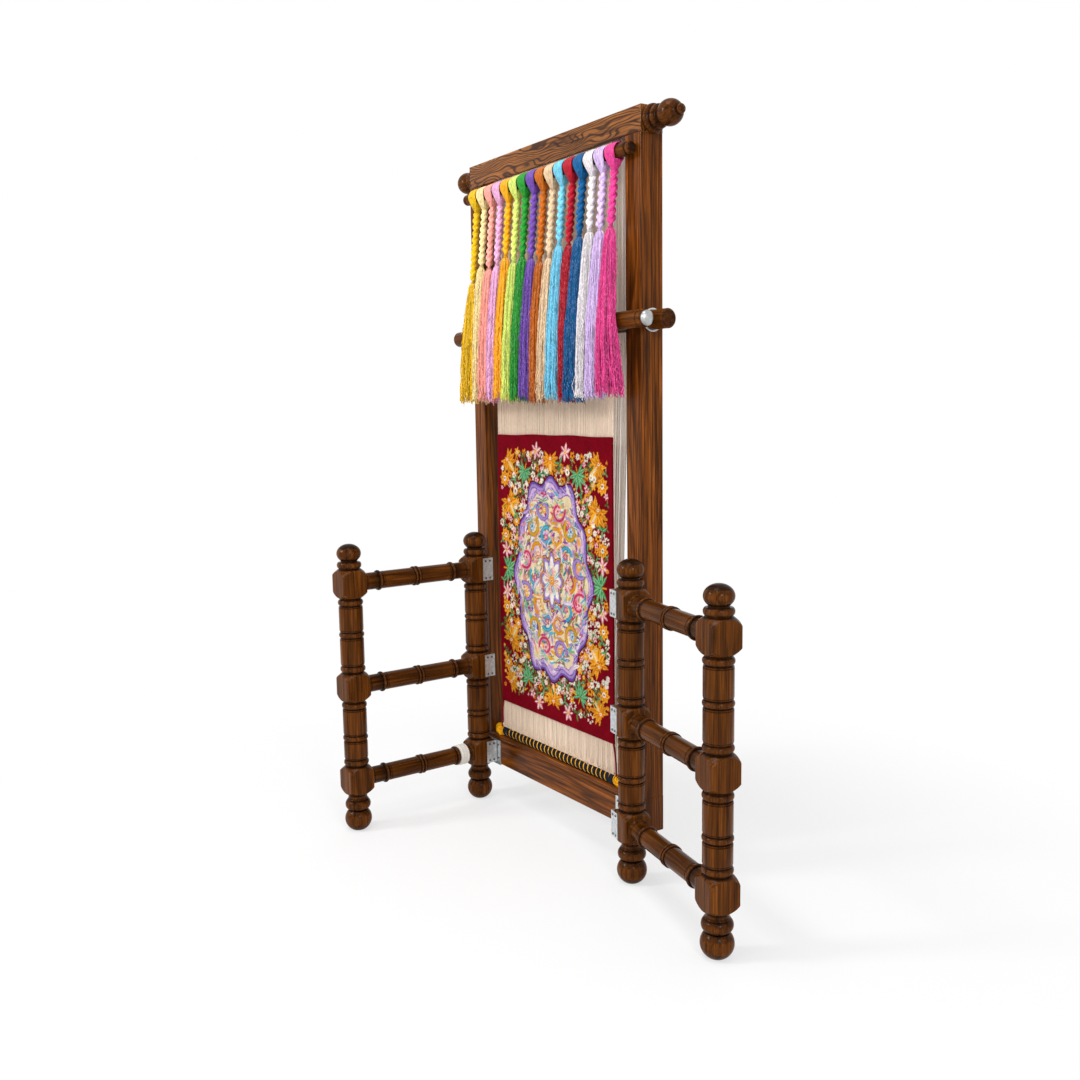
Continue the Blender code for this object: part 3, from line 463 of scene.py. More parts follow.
# The camera looks along yaw and pitch; its side and up axes are turned by roll about that line
def setCamera():
    yaw, pitch, roll = (math.radians(camera[key]) for key in ("yaw", "pitch", "roll"))
    ahead = np.array([-math.sin(yaw) * math.cos(pitch), math.cos(yaw) * math.cos(pitch), -math.sin(pitch)])
    right = np.array([math.cos(yaw), math.sin(yaw), 0.0])
    up = np.cross(right, ahead)
    side = right * math.cos(roll) + up * math.sin(roll)
    top = -right * math.sin(roll) + up * math.cos(roll)
    lens = bpy.data.cameras.new("camera")
    lens.sensor_width = camera["sensor"]
    lens.lens = camera["focalPixels"] / camera["imageSize"] * camera["sensor"]
    lens.shift_y = (camera["imageCentreY"] - camera["imageSize"] / 2) / camera["imageSize"]
    lens.clip_start = 0.05
    bpy.context.scene.camera = addObject("camera", lens, standing(side, top, ahead, camera["place"]))


setCamera()
print("camera set")


# Sizes in mm; a seed is the timber's place in the log, in metres
timbers = {"ease": 2.2, "endEase": 0.8, "footEase": 0.3, "jointGap": 0.1, "moulding": 16.0,
           "seeds": {"left_upright": (0.075, 0.055, 0.0), "right_upright": (0.060, 0.085, 1.7),
                     "top_beam": (0.050, 0.070, 3.4), "bottom_beam": (0.085, 0.060, 5.1)}}


def makeTimbers():
    seeds, ease, gap = timbers["seeds"], timbers["ease"] * mm, timbers["jointGap"] * mm
    ends = [(middleOf(name), seeds[name]) for name in ("left_upright", "right_upright")]
    for name, seed in seeds.items():
        low, high = boxOf(name)
        if name.endswith("upright"):
            low[2], high[2] = boxOf("bottom_beam")[1][2] + gap, boxOf("top_beam")[0][2] - gap
            corners = [(low[0], low[1]), (high[0], low[1]), (high[0], high[1]), (low[0], high[1])]
            points, grain = bar(easedOutline(corners, ease), low[2], high[2], 2, timbers["footEase"] * mm, seed)
        else:
            y0, z0, y1, z1 = low[1], low[2], high[1], high[2]
            corners = [(y0, z0), (y1, z0), (y1, z1), (y0, z1)]
            if name == "bottom_beam":               # a bead and a step run along the front's top edge
                deep = z1 - timbers["moulding"] * mm
                a = np.radians(np.linspace(-80, 80, 7))
                bead = np.stack([y0 + 3.2 * mm - 2.9 * mm * np.cos(a), z1 - 6.5 * mm + 4.8 * mm * np.sin(a)], -1)
                corners = [(y0, z0), (y1, z0), (y1, z1), (y0 + 5 * mm, z1)] + [tuple(p) for p in bead[::-1]]
                corners += [(y0 + 3 * mm, deep + 3 * mm), (y0 + 3 * mm, deep), (y0, deep - 2 * mm)]
            points, grain = bar(easedOutline(corners, ease), low[0], high[0], 0, timbers["endEase"] * mm, seed, ends)
        piece = startPiece()
        addGrids(piece, points, grain)
        stain = boldStain if name == "top_beam" else walnutStain
        finishPiece(piece, name + "_timber", "frame", stain, (name,), 30)


# A collar, a neck bead, a waist, the ball and a small tip
finials = {"sides": 64, "gap": 0.3, "poolAndShade": (40, 6.0), "seed": (0.03, 0.02),
           "runs": (("ease", 3, 25.0, 28.6), ("arc", 10, 26.0, 3.0, -80, 80), ("ease", 4, 26.5, 20.4),
                    ("arc", 2, 20.6, -0.6, -90, 90), ("arc", 11, 20.5, 4.3, -90, 90), ("ease", 3, 20.5, 16.8),
                    ("line", 2, 15.6, 15.8), ("arc", 49, 0, 26.6, -54, 66), ("arc", 3, 9.0, -2.0, -90, 90),
                    ("arc", 9, 4.0, 6.0, -60, 72), ("ease", 4, 5.6, 2.4))}


def makeFinials():
    low, high = boxOf("top_beam")
    for index, (name, side) in enumerate((("left_finial", -1), ("right_finial", 1))):
        place = ((low[0], high[0])[index] + side * finials["gap"] * mm, *((low + high) / 2)[1:])
        turnPiece(name + "_turning", name, "frame", place, (side, 0, 0), (0, 0, 1), finials["runs"],
                  finials["sides"], finials["poolAndShade"], finials["seed"] + (index,))


rods = {"skein_rod": {"radius": 14.5, "body": "frame",
                      "end": (("ease", 3, 6, 11.6), ("arc", 9, 10.6, 2.6, -60, 80), ("ease", 2, 10.9, 10.4),
                              ("ease", 4, 10.4, 14.5))},
        "heddle_pole": {"radius": 19.0, "body": "frame", "end": (("ease", 5, 13, 19.0),),
                        "farEnd": (("ease", 3, 19.0, 16.7), ("arc", 12, 16.7, 2.3, -90, 60),
                                   ("ease", 4, 17.8, 16.0))},
        "lease_pole": {"radius": 20.5, "body": "lease_pole_body", "end": (("ease", 4, 17, 20.5),)}}


def makeRods():
    for index, (name, rod) in enumerate(rods.items()):
        low, high = boxOf(name)
        place = middleOf(name)
        place[0] = low[0]
        if name != "lease_pole":                    # the dowels behind the rod are not part of its round
            place[1] = low[1] + rod["radius"] * mm
        farEnd = rod.get("farEnd", mirrored(rod["end"]))
        plain = (high[0] - low[0]) / mm - sum(run[1] for run in rod["end"] + farEnd)
        runs = rod["end"] + (("line", plain, rod["radius"], rod["radius"]),) + farEnd
        turnPiece(name + "_turning", name, rod["body"], place, (1, 0, 0), (0, 1, 0), runs, 56, (40, 5.0),
                  (0.045, 0.03, 3.0 + index))


makeTimbers()
makeFinials()
makeRods()
print("frame timbers, finials and rods made")


gates = {"blockHalf": 31.5, "blockCentres": (126.5, 360.0, 614.0), "blockHeight": 72.0, "shoulder": 16.5,
         "waist": 26.6, "drum": 29.0, "beads": 63, "drumShares": (0.4, 0.52), "height": 710.0,
         "postSides": 96, "railSides": 48, "postPoolAndShade": (31, 2.6), "railPoolAndShade": (30, 2.6), "railGap": 0.3}


# Foot ball, ring, three square blocks with turned spans between them, collar and top ball
def postRuns():
    low, middle, high = gates["blockCentres"]
    height, shoulder, waist = gates["blockHeight"], gates["shoulder"], gates["waist"]
    corner = gates["blockHalf"] * 1.39              # the eased corner of the square
    bead = (("line", 2.0, 25.4, 25.4), ("arc", 14.6, 24.6, 5.7, -80, 80), ("line", 2.4, 25.4, 25.4),
            ("line", 2.0, 28.0, 28.4))
    middleBead = (("line", 2.0, 28.4, 28.0), ("line", 1.8, 25.4, 25.4), ("arc", 13.4, 24.6, 5.7, -80, 80),
                  ("line", 1.8, 25.4, 25.4), ("line", 2.0, 28.0, 28.4))
    block = (("shoulder", shoulder, waist, corner, 1), ("line", height - 2 * shoulder, corner + 1, corner + 1),
             ("shoulder", shoulder, waist, corner, -1))
    lip = (("arc", 1.8, gates["drum"] - 0.2, -1.3, -90, 90),)

    def span(length, lowShare):
        lower, upper = (lip + (("line", (length - gates["beads"]) * share - 3.6, gates["drum"], gates["drum"]),) + lip
                        for share in (lowShare, 1 - lowShare))
        return bead + lower + middleBead + upper + bead[::-1]

    lowShare, highShare = gates["drumShares"]
    foot = (("arc", 49.4, 0, 32.8, -60, 44), ("line", 2.0, 19.5, 19.5),
            ("arc", 25.6, 21.0, 10.0, -86, 86), ("arc", low - height / 2 - 77.0, waist, -3.6, -88, 88))
    top = (("line", 1.6, 25.8, 25.8), ("arc", 15.5, 23.9, 5.4, -82, 82), ("line", 3.4, 20.4, 20.0),
           ("arc", gates["height"] - high - height / 2 - 20.5, 0, 29.2, -46, 80))
    return (foot + block + span(middle - low - height, lowShare) + block
            + span(high - middle - height, highShare) + block + top)


# A flare from the block, a neck, a ring and an incised line, then plain turning to a double ring in the middle
def railRuns(length):
    start = (("ease", 7, 24.2, 21.2), ("arc", 1.6, 21.1, -1.3, -90, 90), ("line", 29.6, 21.1, 20.9),
             ("line", 1, 19.8, 19.8), ("arc", 9, 19.6, 5.4, -82, 82), ("line", 1.2, 19.8, 19.8),
             ("line", 5, 21.2, 21.4), ("arc", 1.8, 21.2, -1.3, -90, 90))
    mid = (("line", 2, 20.6, 20.6), ("arc", 6.5, 20.8, 3.6, -90, 90), ("line", 1.2, 20.4, 20.4))
    plain = length / 2 - sum(run[1] for run in start) - sum(run[1] for run in mid)
    left = start + (("line", plain, 21.5, 21.5),) + mid
    return left + mirrored(left)


def makeGates():
    up = (0, 0, 1)
    half = gates["blockHalf"]
    for index, label in enumerate(("left", "right")):
        rear, front = middleOf(label + "_rear_post"), middleOf(label + "_front_post")
        rear[2] = front[2] = 0
        out = unit(front - rear)
        pitch = np.linalg.norm(front - rear)
        for turn, (part, place) in enumerate((("_rear_post", rear), ("_front_post", front)), 2 * index):
            turnPiece(label + part + "_turning", label + part, label + "_gate", place, up, out, postRuns(),
                      gates["postSides"], gates["postPoolAndShade"],
                      (0.045 + 0.006 * turn, 0.05 - 0.02 * turn, 7.0 + turn * 0.9), half * mm)
        reach = (half + gates["railGap"]) * mm
        for row, part in enumerate(("_top_rail", "_middle_rail", "_bottom_rail")):
            place = rear + out * reach + np.array([0, 0, middleOf(label + part)[2]])
            turnPiece(label + part + "_turning", label + part, label + "_gate", place, out, up,
                      railRuns((pitch - 2 * reach) / mm), gates["railSides"], gates["railPoolAndShade"],
                      (0.04, 0.03 * row, 20.0 + row + 4 * index))


makeGates()
print("gates made")


# Each hank's colour, and then its plait's length, its fullness, how much longer it is and its splay
hankRows = {"hank_01_gold": ("#dcb00c", 176, 1.22, 4, -6.0), "hank_02_cream": ("#e8d398", 140, 0.7, 0, 2.0),
            "hank_03_salmon": ("#f09c8e", 149, 1, 1, 0.0), "hank_04_lilac_pink": ("#daa2c8", 144, 1, 0, 0.0),
            "hank_05_amber": ("#eca40f", 130, 1.05, -4, 0.0), "hank_06_pale_lime": ("#cbd96a", 146, 1.05, 0, 0.0),
            "hank_07_green": ("#1f8f2a", 137, 1.05, 0, 0.0), "hank_08_purple": ("#6c47a2", 145, 1.05, 0, 0.0),
            "hank_09_ochre": ("#b9610f", 157, 0.86, 5, 0.0), "hank_10_beige": ("#d6b894", 153, 1, 4, 0.0),
            "hank_11_light_blue": ("#6fc0dc", 130, 1.05, 0, 0.0), "hank_12_crimson": ("#a80a24", 134, 0.72, 4, 0.0),
            "hank_13_strong_blue": ("#02568c", 120, 1.2, 7, 3.0), "hank_14_white": ("#dcd6d8", 115, 0.95, 0, 0.0),
            "hank_15_pale_lilac": ("#cdb4e0", 118, 1.05, 0, 5.0),
            "hank_16_hot_pink": ("#d83c88", 117, 1.22, -5, 33.0)}
hanks = {"rodRadius": 15.4, "loopFront": 16.6, "loopBack": 11.4, "neckDrop": 36.0, "pressed": 16.0, "pastPole": 156.6,
         "ridges": 15, "strands": 190, "threadRadius": 0.9, "stray": 34, "strayRadius": 0.6, "curls": 200,
         "curlRadius": 0.7, "locks": 9, "plaitPitch": 47.0, "strandRadius": 5.0, "paintedGlint": 0.17}


# Over the rod and down both sides to the neck. Round the band's edge the angle is a: it lies
# half cos(a) across and thick sqrt|sin(a)| deep, with small ridges for the threads.
def loopSkin():
    radius, drop, ridges = hanks["rodRadius"] + 2.1, hanks["neckDrop"], hanks["ridges"]
    touch = math.radians(-24)
    arc = np.linspace(touch, math.pi - touch, 25)
    side = np.linspace(0, 1, 9)[:-1]
    backY = 2.4 + (radius * math.cos(touch) - 2.4) * side
    backZ = -drop + (radius * math.sin(touch) + drop) * side
    y = np.concatenate([backY, radius * np.cos(arc), -backY[::-1]])
    z = np.concatenate([backZ, radius * np.sin(arc), backZ[::-1]])
    rise = np.clip((z + drop) / (drop - 2), 0, 1)
    turn = np.clip(0.5 - y / 14, 0, 1)                  # 1 on the front, 0 behind the rod
    full = hanks["loopBack"] + (hanks["loopFront"] - hanks["loopBack"]) * turn * turn * (3 - 2 * turn)
    half = 4.4 + (full - 4.4) * np.sin(rise * math.pi / 2) ** 1.1
    thick = 3.4 - 1.5 * rise
    tangent = unit(np.gradient(np.stack([y, z], -1), axis=0))
    normal = np.stack([tangent[:, 1], -tangent[:, 0]], -1)
    angle = tau * np.arange(60) / 60
    v, w = np.cos(angle), np.sin(angle)
    ridge = 1 + 0.18 * np.sin(ridges * angle) * np.abs(w)
    offset = thick[:, None] * np.sign(w) * np.abs(w) ** 0.6 * ridge
    x = half[:, None] * v
    points = np.stack([x, y[:, None] + offset * normal[:, :1], z[:, None] + offset * normal[:, 1:]], -1)
    run = np.broadcast_to(np.arange(len(y))[:, None] * 2.0, x.shape)
    grain = np.stack([np.broadcast_to(v * 15, x.shape), np.broadcast_to(w * 3, x.shape), run], -1)
    # painted light and shade: ridge crests are painted lighter and the valleys between the threads darker
    tint = 0.62 + 0.22 * np.sin(ridges * angle)[None] * np.ones_like(x)
    return points[:, ::-1] * mm, grain[:, ::-1] * mm, tint[:, ::-1]


# The yarn closes in under the rod: an oval funnel, its half width and depth falling as a cosine to the neck
def funnelSkin():
    s = np.linspace(0, 1, 14)[:, None]
    a = (tau * np.arange(48) / 48)[None]
    fall = np.cos(s * math.pi / 2) ** 0.8
    ridge = np.sin(hanks["ridges"] * a)
    x = (4.6 + 8.8 * fall) * np.cos(a) * (1 + 0.03 * ridge)
    y = (4.4 + 10.4 * fall) * np.sin(a) * (1 + 0.03 * ridge)
    z = np.broadcast_to(-hanks["rodRadius"] - (hanks["neckDrop"] - hanks["rodRadius"]) * s, x.shape)
    grain = np.stack([a * 5 + 0 * s, 0 * a + 0 * s, 30 * s + 0 * a], -1)
    # painted light and shade: ridge crests are painted lighter, valleys darker, and the funnel under the rod darker
    # than the loop
    tint = np.broadcast_to(0.45 + 0.2 * ridge, x.shape)
    return np.stack([x, y, z], -1)[:, ::-1] * mm, grain[:, ::-1] * mm, tint[:, ::-1]


# Three strands: strand k swings sideways by a sine and in depth by a sine of twice the rate, a third apart
def plaitPaths(top, length, index):
    s = np.linspace(0, 1, 90)
    phase = tau * (length / hanks["plaitPitch"] * s[None] + np.arange(3)[:, None] / 3) + 0.7 * index
    fade = np.clip(np.minimum(s / 0.07, (1 - s) / 0.09), 0, 1)
    fade = 0.25 + 0.75 * fade * fade * (3 - 2 * fade)
    loose = 1 + 0.10 * np.sin(tau * s * 2.3 + index)
    x = 4.9 * np.sin(phase) * fade * loose
    y = 3.4 * np.sin(2 * phase) * fade
    z = np.broadcast_to(-(top + length * s), x.shape)
    radius = np.broadcast_to(hanks["strandRadius"] * (0.5 + 0.5 * fade) * loose, x.shape)
    return np.stack([x, y, z], -1) * mm, radius * mm


# Half width, half depth and place across and forward of the tassel at each distance down the hank.
# The pole it rests on presses it flat, and below the pole it hangs upright again.
def tasselForm(form, run):
    top, rest, end = form["top"], form["rest"], form["end"]
    begun = np.clip((run - top) / (end - top), 0, 1)
    full = 1 + (form["full"] - 1) * np.minimum(1, 1.6 * begun)
    places = [top, top + 5, top + 15, top + 48, rest - 30, rest, rest + 30, end]
    wide = np.interp(run, places, [3.4, 9.0, 13.4, 16.6, 18.6, 19.6, 21.0, 22.5]) * full
    deep = np.interp(run, places, [3.2, 6.6, 8.6, 10.0, 11.0, 9.6, 13.8, 19.0])
    middle = np.interp(run, places, [0, 0, -0.3, -0.6, -1.0, -2.0, -0.6, 0.4]) - 3 * (full - 1) * 6 * begun
    return wide, deep, form["splay"] * begun ** 1.6, middle + np.clip(run - rest, 0, None) * math.tan(form["lean"])


# Threads keep their own place round the tassel's oval, gathered in locks; each waves a little and the ends are ragged
def tasselPaths(form, count, wild=1.0):
    locks, rest, end = hanks["locks"], form["rest"], form["end"]
    turn = tau * dice.random((count, 1))
    turn = turn + 0.55 / locks * np.sin(locks * turn + form["index"])
    place = 0.62 + 0.40 * dice.random((count, 1)) ** 0.5
    t = np.linspace(0, 1, 19)[None] ** 1.35
    last = end - 26 * dice.random((count, 1)) ** 2.0 + 3.5 * dice.standard_normal((count, 1))
    run = form["top"] + (last - form["top"]) * t
    wide, deep, splay, middle = tasselForm(form, run)
    low = np.clip((run - rest) / (end - rest), 0, 1)
    waves = [np.sin(run / size + tau * dice.random((count, 1))) for size in (26, 11, 19, 8)]
    splay = splay * (0.6 + 0.4 * np.cos(turn) * np.sign(splay))
    lock = 1 + 0.07 * np.sin(locks * turn + form["index"])
    wavesX = waves[0] * (0.5 + 1.6 * low) + waves[1] * (0.3 + 1.1 * low)
    wavesY = waves[2] * (0.3 + 1.1 * low) + waves[3] * (0.2 + 0.7 * low)
    x = wide * place * lock * np.cos(turn) + wild * wavesX + splay
    y = deep * place * lock * np.sin(turn) + wild * wavesY + middle
    # the second value paints threads on a lock's outer bulge lighter and those in the gaps between locks darker:
    # painted light and shade
    return np.stack([x, y, -run], -1) * mm, 0.5 + 0.5 * np.sin(locks * turn + form["index"])


# Short curled ends lie on the tassel's skin, most of them low down: a sine across a falling line
def tasselCurls(form, count):
    turn = tau * dice.random((count, 1))
    begin = form["end"] - 16 - (form["end"] - form["top"] - 40) * dice.random((count, 1)) ** 1.7
    run = begin + dice.uniform(10, 26, (count, 1)) * np.linspace(0, 1, 12)[None]
    wide, deep, splay, middle = tasselForm(form, np.minimum(run, form["end"]))
    bend = dice.uniform(0.9, 2.8, (count, 1))
    bend = bend * np.sin(run / dice.uniform(1.5, 3.2, (count, 1)) + tau * dice.random((count, 1)))
    drift = dice.normal(0, 0.16, (count, 1)) * (run - begin)
    splay = splay * (0.6 + 0.4 * np.cos(turn) * np.sign(splay))
    x = 1.05 * wide * np.cos(turn) + (bend + drift) * np.abs(np.sin(turn)) + splay
    y = 1.06 * deep * np.sin(turn) + (bend + drift) * np.cos(turn) + middle
    return np.stack([x, y, -run], -1) * mm


def makeHank(index, name):
    code, length, full, longer, splay = hankRows[name]
    piece = startPiece()
    pivot = middleOf("skein_rod")
    pivot[0] = middleOf(name)[0]
    pivot[1] = boxOf("skein_rod")[0][1] + rods["skein_rod"]["radius"] * mm
    reach = pivot[1] - boxOf("heddle_pole")[0][1] + (hanks["pressed"] / 2 + 0.8) * mm
    fall = pivot[2] - middleOf("heddle_pole")[2]
    lean, rest = math.atan2(reach, fall), math.hypot(reach, fall) / mm
    drop = hanks["neckDrop"]
    top, end = drop + length, rest + hanks["pastPole"] + longer
    form = {"index": index, "top": top, "rest": rest, "end": end, "lean": lean, "full": full, "splay": splay}
    for points, grain, tint in (loopSkin(), funnelSkin()):
        addGrids(piece, points, grain + index, tint)
    paths, radius = plaitPaths(drop - 3, length, index)
    front = -paths[..., 1] / (3.4 * mm)                 # painted light and shade: the strand in front is painted lighter, the one behind darker
    addTubes(piece, paths, radius, 14, (0, 1, 0), 0.5 + 0.45 * front, deep=0.86)
    for place in (drop - 1.5, top - 2.5):               # two close turns at the neck and under the plait
        a = np.linspace(0, tau * 2.2, 36)
        tie = np.stack([4.9 * np.cos(a), 4.7 * np.sin(a), -(place + 1.6 * a / tau)], -1)[None] * mm
        addTubes(piece, tie, 1.2 * mm, 8, (0, 0, 1), 0.35)
    run = np.linspace(top, end - 14, 26)                # a full middle under the threads, painted dark as the shade inside the tassel
    wide, deep, splay, middle = (value[:, None] for value in tasselForm(form, run))
    a = tau * np.arange(54) / 54
    lock = 0.80 * (1 + 0.07 * np.sin(hanks["locks"] * a + index))
    core = np.stack([wide * np.cos(a) * lock + 0.6 * splay, deep * np.sin(a) * lock + middle,
                     np.broadcast_to(-run[:, None], (26, 54))], -1) * mm
    addGrids(piece, core[:, ::-1], core[:, ::-1] + index, 0.1)
    count = hanks["strands"]
    threads, tone = tasselPaths(form, count)
    tint = 0.55 * tone.ravel() + 0.5 * dice.random(count)
    addTubes(piece, threads, hanks["threadRadius"] * mm, 4, (0, 1, 0), tint, loose=1)
    strays, tone = tasselPaths({**form, "end": end + 4}, hanks["stray"], 2.4)
    addTubes(piece, strays, hanks["strayRadius"] * mm, 4, (0, 1, 0), 1.1, loose=1)
    curls = tasselCurls(form, hanks["curls"])
    addTubes(piece, curls, hanks["curlRadius"] * mm, 4, (0, 1, 0), 1.3 * dice.random(hanks["curls"]), loose=1)
    turn = np.array([[1, 0, 0], [0, math.cos(lean), math.sin(lean)], [0, -math.sin(lean), math.cos(lean)]])
    piece["points"] = [pivot + block @ turn.T for block in piece["points"]]
    # skeined and dyed: silky, streaked strand by strand, with painted pale glints as painted highlights where threads
    # hang free
    material = yarn(name[8:].replace("_", " ") + " yarn", code, paintedGlint=hanks["paintedGlint"])
    finishPiece(piece, name + "_yarn", "frame", material, (name,), 60)


for hankIndex, hankName in enumerate(hankRows):
    makeHank(hankIndex, hankName)
print("hanks made")


# A real warp of this width has 300 threads or more; fewer and thicker ones are drawn, so that they show
warp = {"threads": 232, "radius": 0.72, "width": 482.0, "bunch": 1.5, "bunchThreads": 11,
        "swayX": 0.35, "swayY": 0.12, "inset": 0.65}


# Straight threads through the layer's points, each a little out of true, bunched at the foot by a sine
def makeWarps():
    pole = boxOf("lease_pole")
    count = warp["threads"]
    order = np.arange(count)
    for name, material in (("warp_front", cottonWarp), ("warp_back", paintedLitBackCotton)):
        low, high = boxOf(name)
        mid = (low + high) / 2
        x = mid[0] + (order / (count - 1) - 0.5) * warp["width"] * mm + dice.normal(0, 0.25 * mm, count)
        if name == "warp_front":
            z = np.array([low[2] - 0.5 * mm, low[2] + 60 * mm, 0.5, 0.9, 1.3, high[2]])
            y = np.full(6, mid[1])
        else:
            z = np.array([low[2], 0.5, 0.9, pole[0][2] + 20 * mm, 1.4, high[2]])
            ends = [low[1] + warp["inset"] * mm, high[1] - warp["inset"] * mm]
            y = np.interp(z, [low[2], (pole[0][2] + pole[1][2]) / 2], ends)
        bunch = warp["bunch"] * mm * np.sin(order * tau / warp["bunchThreads"] + 2 * np.sin(order / 17))
        x = x[:, None] + bunch[:, None] * np.array([1.0, 0.35, 0, 0, 0, 0])
        paths = np.stack([x + dice.normal(0, warp["swayX"] * mm, (count, 6)) * [1, 1, 1, 1, 1, 0.5],
                          np.broadcast_to(y, (count, 6)) + dice.normal(0, warp["swayY"] * mm, (count, 6)),
                          np.broadcast_to(z, (count, 6))], -1)
        piece = startPiece()
        addTubes(piece, paths, warp["radius"] * mm, 6, (0, 1, 0), dice.random(count))
        finishPiece(piece, name + "_threads", "frame", material, (name,), 70)


winding = {"turns": 29, "cords": 5, "cordRadius": 1.9, "pitchFill": 0.66, "helix": 10.7, "endInset": 6.0,
           "yellowRadius": 0.85, "yellowHelix": 11.6, "slackTurns": 5, "slackFrom": 233, "slackPitch": 2.4,
           "slackRing": 11.8, "knotLoops": 24, "knotFrom": 243, "knotPitch": 1.25, "ends": 330, "endsWidth": 478}


# Cords wound on the rod: x grows evenly while y and z turn about its axis
def makeWinding():
    low, high = boxOf("rod_winding")
    axis = middleOf("warp_rod")
    inset = winding["endInset"] * mm
    length = high[0] - low[0] - 2 * inset
    pitch = length / winding["turns"]
    t = np.linspace(0, 1, winding["turns"] * 22 + 1)
    angle = tau * winding["turns"] * t

    def helix(offsets, radius):
        x = low[0] + inset + length * t[None] + np.asarray(offsets)[:, None]
        y = np.broadcast_to(axis[1] + radius * mm * np.cos(angle), x.shape)
        z = np.broadcast_to(axis[2] + radius * mm * np.sin(angle), x.shape)
        return np.stack([x, y, z], -1)

    count = winding["cords"]
    offsets = (np.arange(count) / (count - 1) - 0.5) * pitch * winding["pitchFill"]
    piece = startPiece()
    addTubes(piece, helix(offsets, winding["helix"]), winding["cordRadius"] * mm, 7, (1, 0, 0), dice.random(count))
    for side in (-1, 1):                                # a few slack turns hang at each end
        for k in range(winding["slackTurns"]):
            a = np.linspace(0, tau, 30)
            x = axis[0] + side * (winding["slackFrom"] - winding["slackPitch"] * k) * mm + 0.8 * mm * np.sin(2 * a)
            r = winding["slackRing"] * mm
            slack = np.clip(-np.sin(a), 0, 1) ** 2 * (0.2 + 0.3 * dice.random()) * mm
            loop = np.stack([x, axis[1] + r * 1.02 * np.cos(a), axis[2] + r * np.sin(a) - slack], -1)[None]
            addTubes(piece, loop, 1.4 * mm, 7, (1, 0, 0), dice.random())
    finishPiece(piece, "rod_winding_cord", "frame", navyYarn, ("rod_winding",), 70)

    piece = startPiece()                                # two thin yellow cords in the gap between the turns
    gap = [pitch / 2 - 0.8 * mm, pitch / 2 + 0.8 * mm]
    addTubes(piece, helix(gap, winding["yellowHelix"]), winding["yellowRadius"] * mm, 7, (1, 0, 0), (0.5, 0.8))
    s = np.linspace(-250 * mm, 250 * mm, 240)           # the yellow sleeve right along the rod
    points, grain = turning(axis, (1, 0, 0), (0, 1, 0), s, (8.0 + 0.25 * np.sin(s / mm * 2.6)) * mm, 24)
    addGrids(piece, points, grain, 0.3)
    foot = boxOf("rod_lashing")[0][2] + 1.8 * mm
    loops = winding["knotLoops"]
    # knots: loops tilted at random round the rod, some drawn down to the beam
    for side in (-1, 1):
        for k in range(loops):
            a = np.linspace(0, tau, 34)
            tiltX, tiltY = dice.normal(0, 0.5, 2)
            r = (8.6 + 3.6 * math.sin(math.pi * (k + 0.5) / loops) + 1.2 * dice.random()) * mm
            off = dice.normal(0, 1.3 * mm, 2) * (k > 3)
            x = axis[0] + side * (winding["knotFrom"] + winding["knotPitch"] * k) * mm
            x = x + r * 0.6 * (math.sin(tiltX) * np.cos(a) + math.sin(tiltY) * np.sin(a))
            z = axis[2] + off[1] + r * np.sin(a)
            down = np.clip(-np.sin(a), 0, 1) ** 3
            if k % 4 == 1:
                z = z * (1 - down) + foot * down
            loop = np.stack([x, axis[1] + off[0] + r * np.cos(a) * (1 + 0.25 * down), z], -1)[None]
            addTubes(piece, loop, (1.2 + 0.6 * dice.random()) * mm, 8, (1, 0, 0), 0.15 + 0.7 * dice.random())
    finishPiece(piece, "rod_lashing_yarn", "frame", yellowYarn, ("rod_lashing",), 70)

    piece = startPiece()                                # cut warp ends stand loose over the rod
    foot = boxOf("warp_front")[0]
    count = winding["ends"]
    t = np.linspace(0, 1, 9)[None]
    size = (7 + 13 * dice.random((count, 1))) * mm
    way = dice.normal(0, 0.6, (count, 1))
    x = axis[0] + (dice.random((count, 1)) - 0.5) * winding["endsWidth"] * mm
    x = x + size * np.sin(way) * t + 1.5 * mm * np.sin(5 * t + 9 * way)
    y = foot[1] - (0.6 + 2.6 * dice.random((count, 1)) * np.sin(math.pi * t * 0.8)) * mm
    z = foot[2] + 0.5 * mm + size * np.cos(way) * t
    addTubes(piece, np.stack([x, y, z], -1), 0.6 * mm, 4, (0, 1, 0), 0.6 + 0.4 * dice.random(count))
    finishPiece(piece, "warp_ends", "frame", cottonWarp, (), 70)


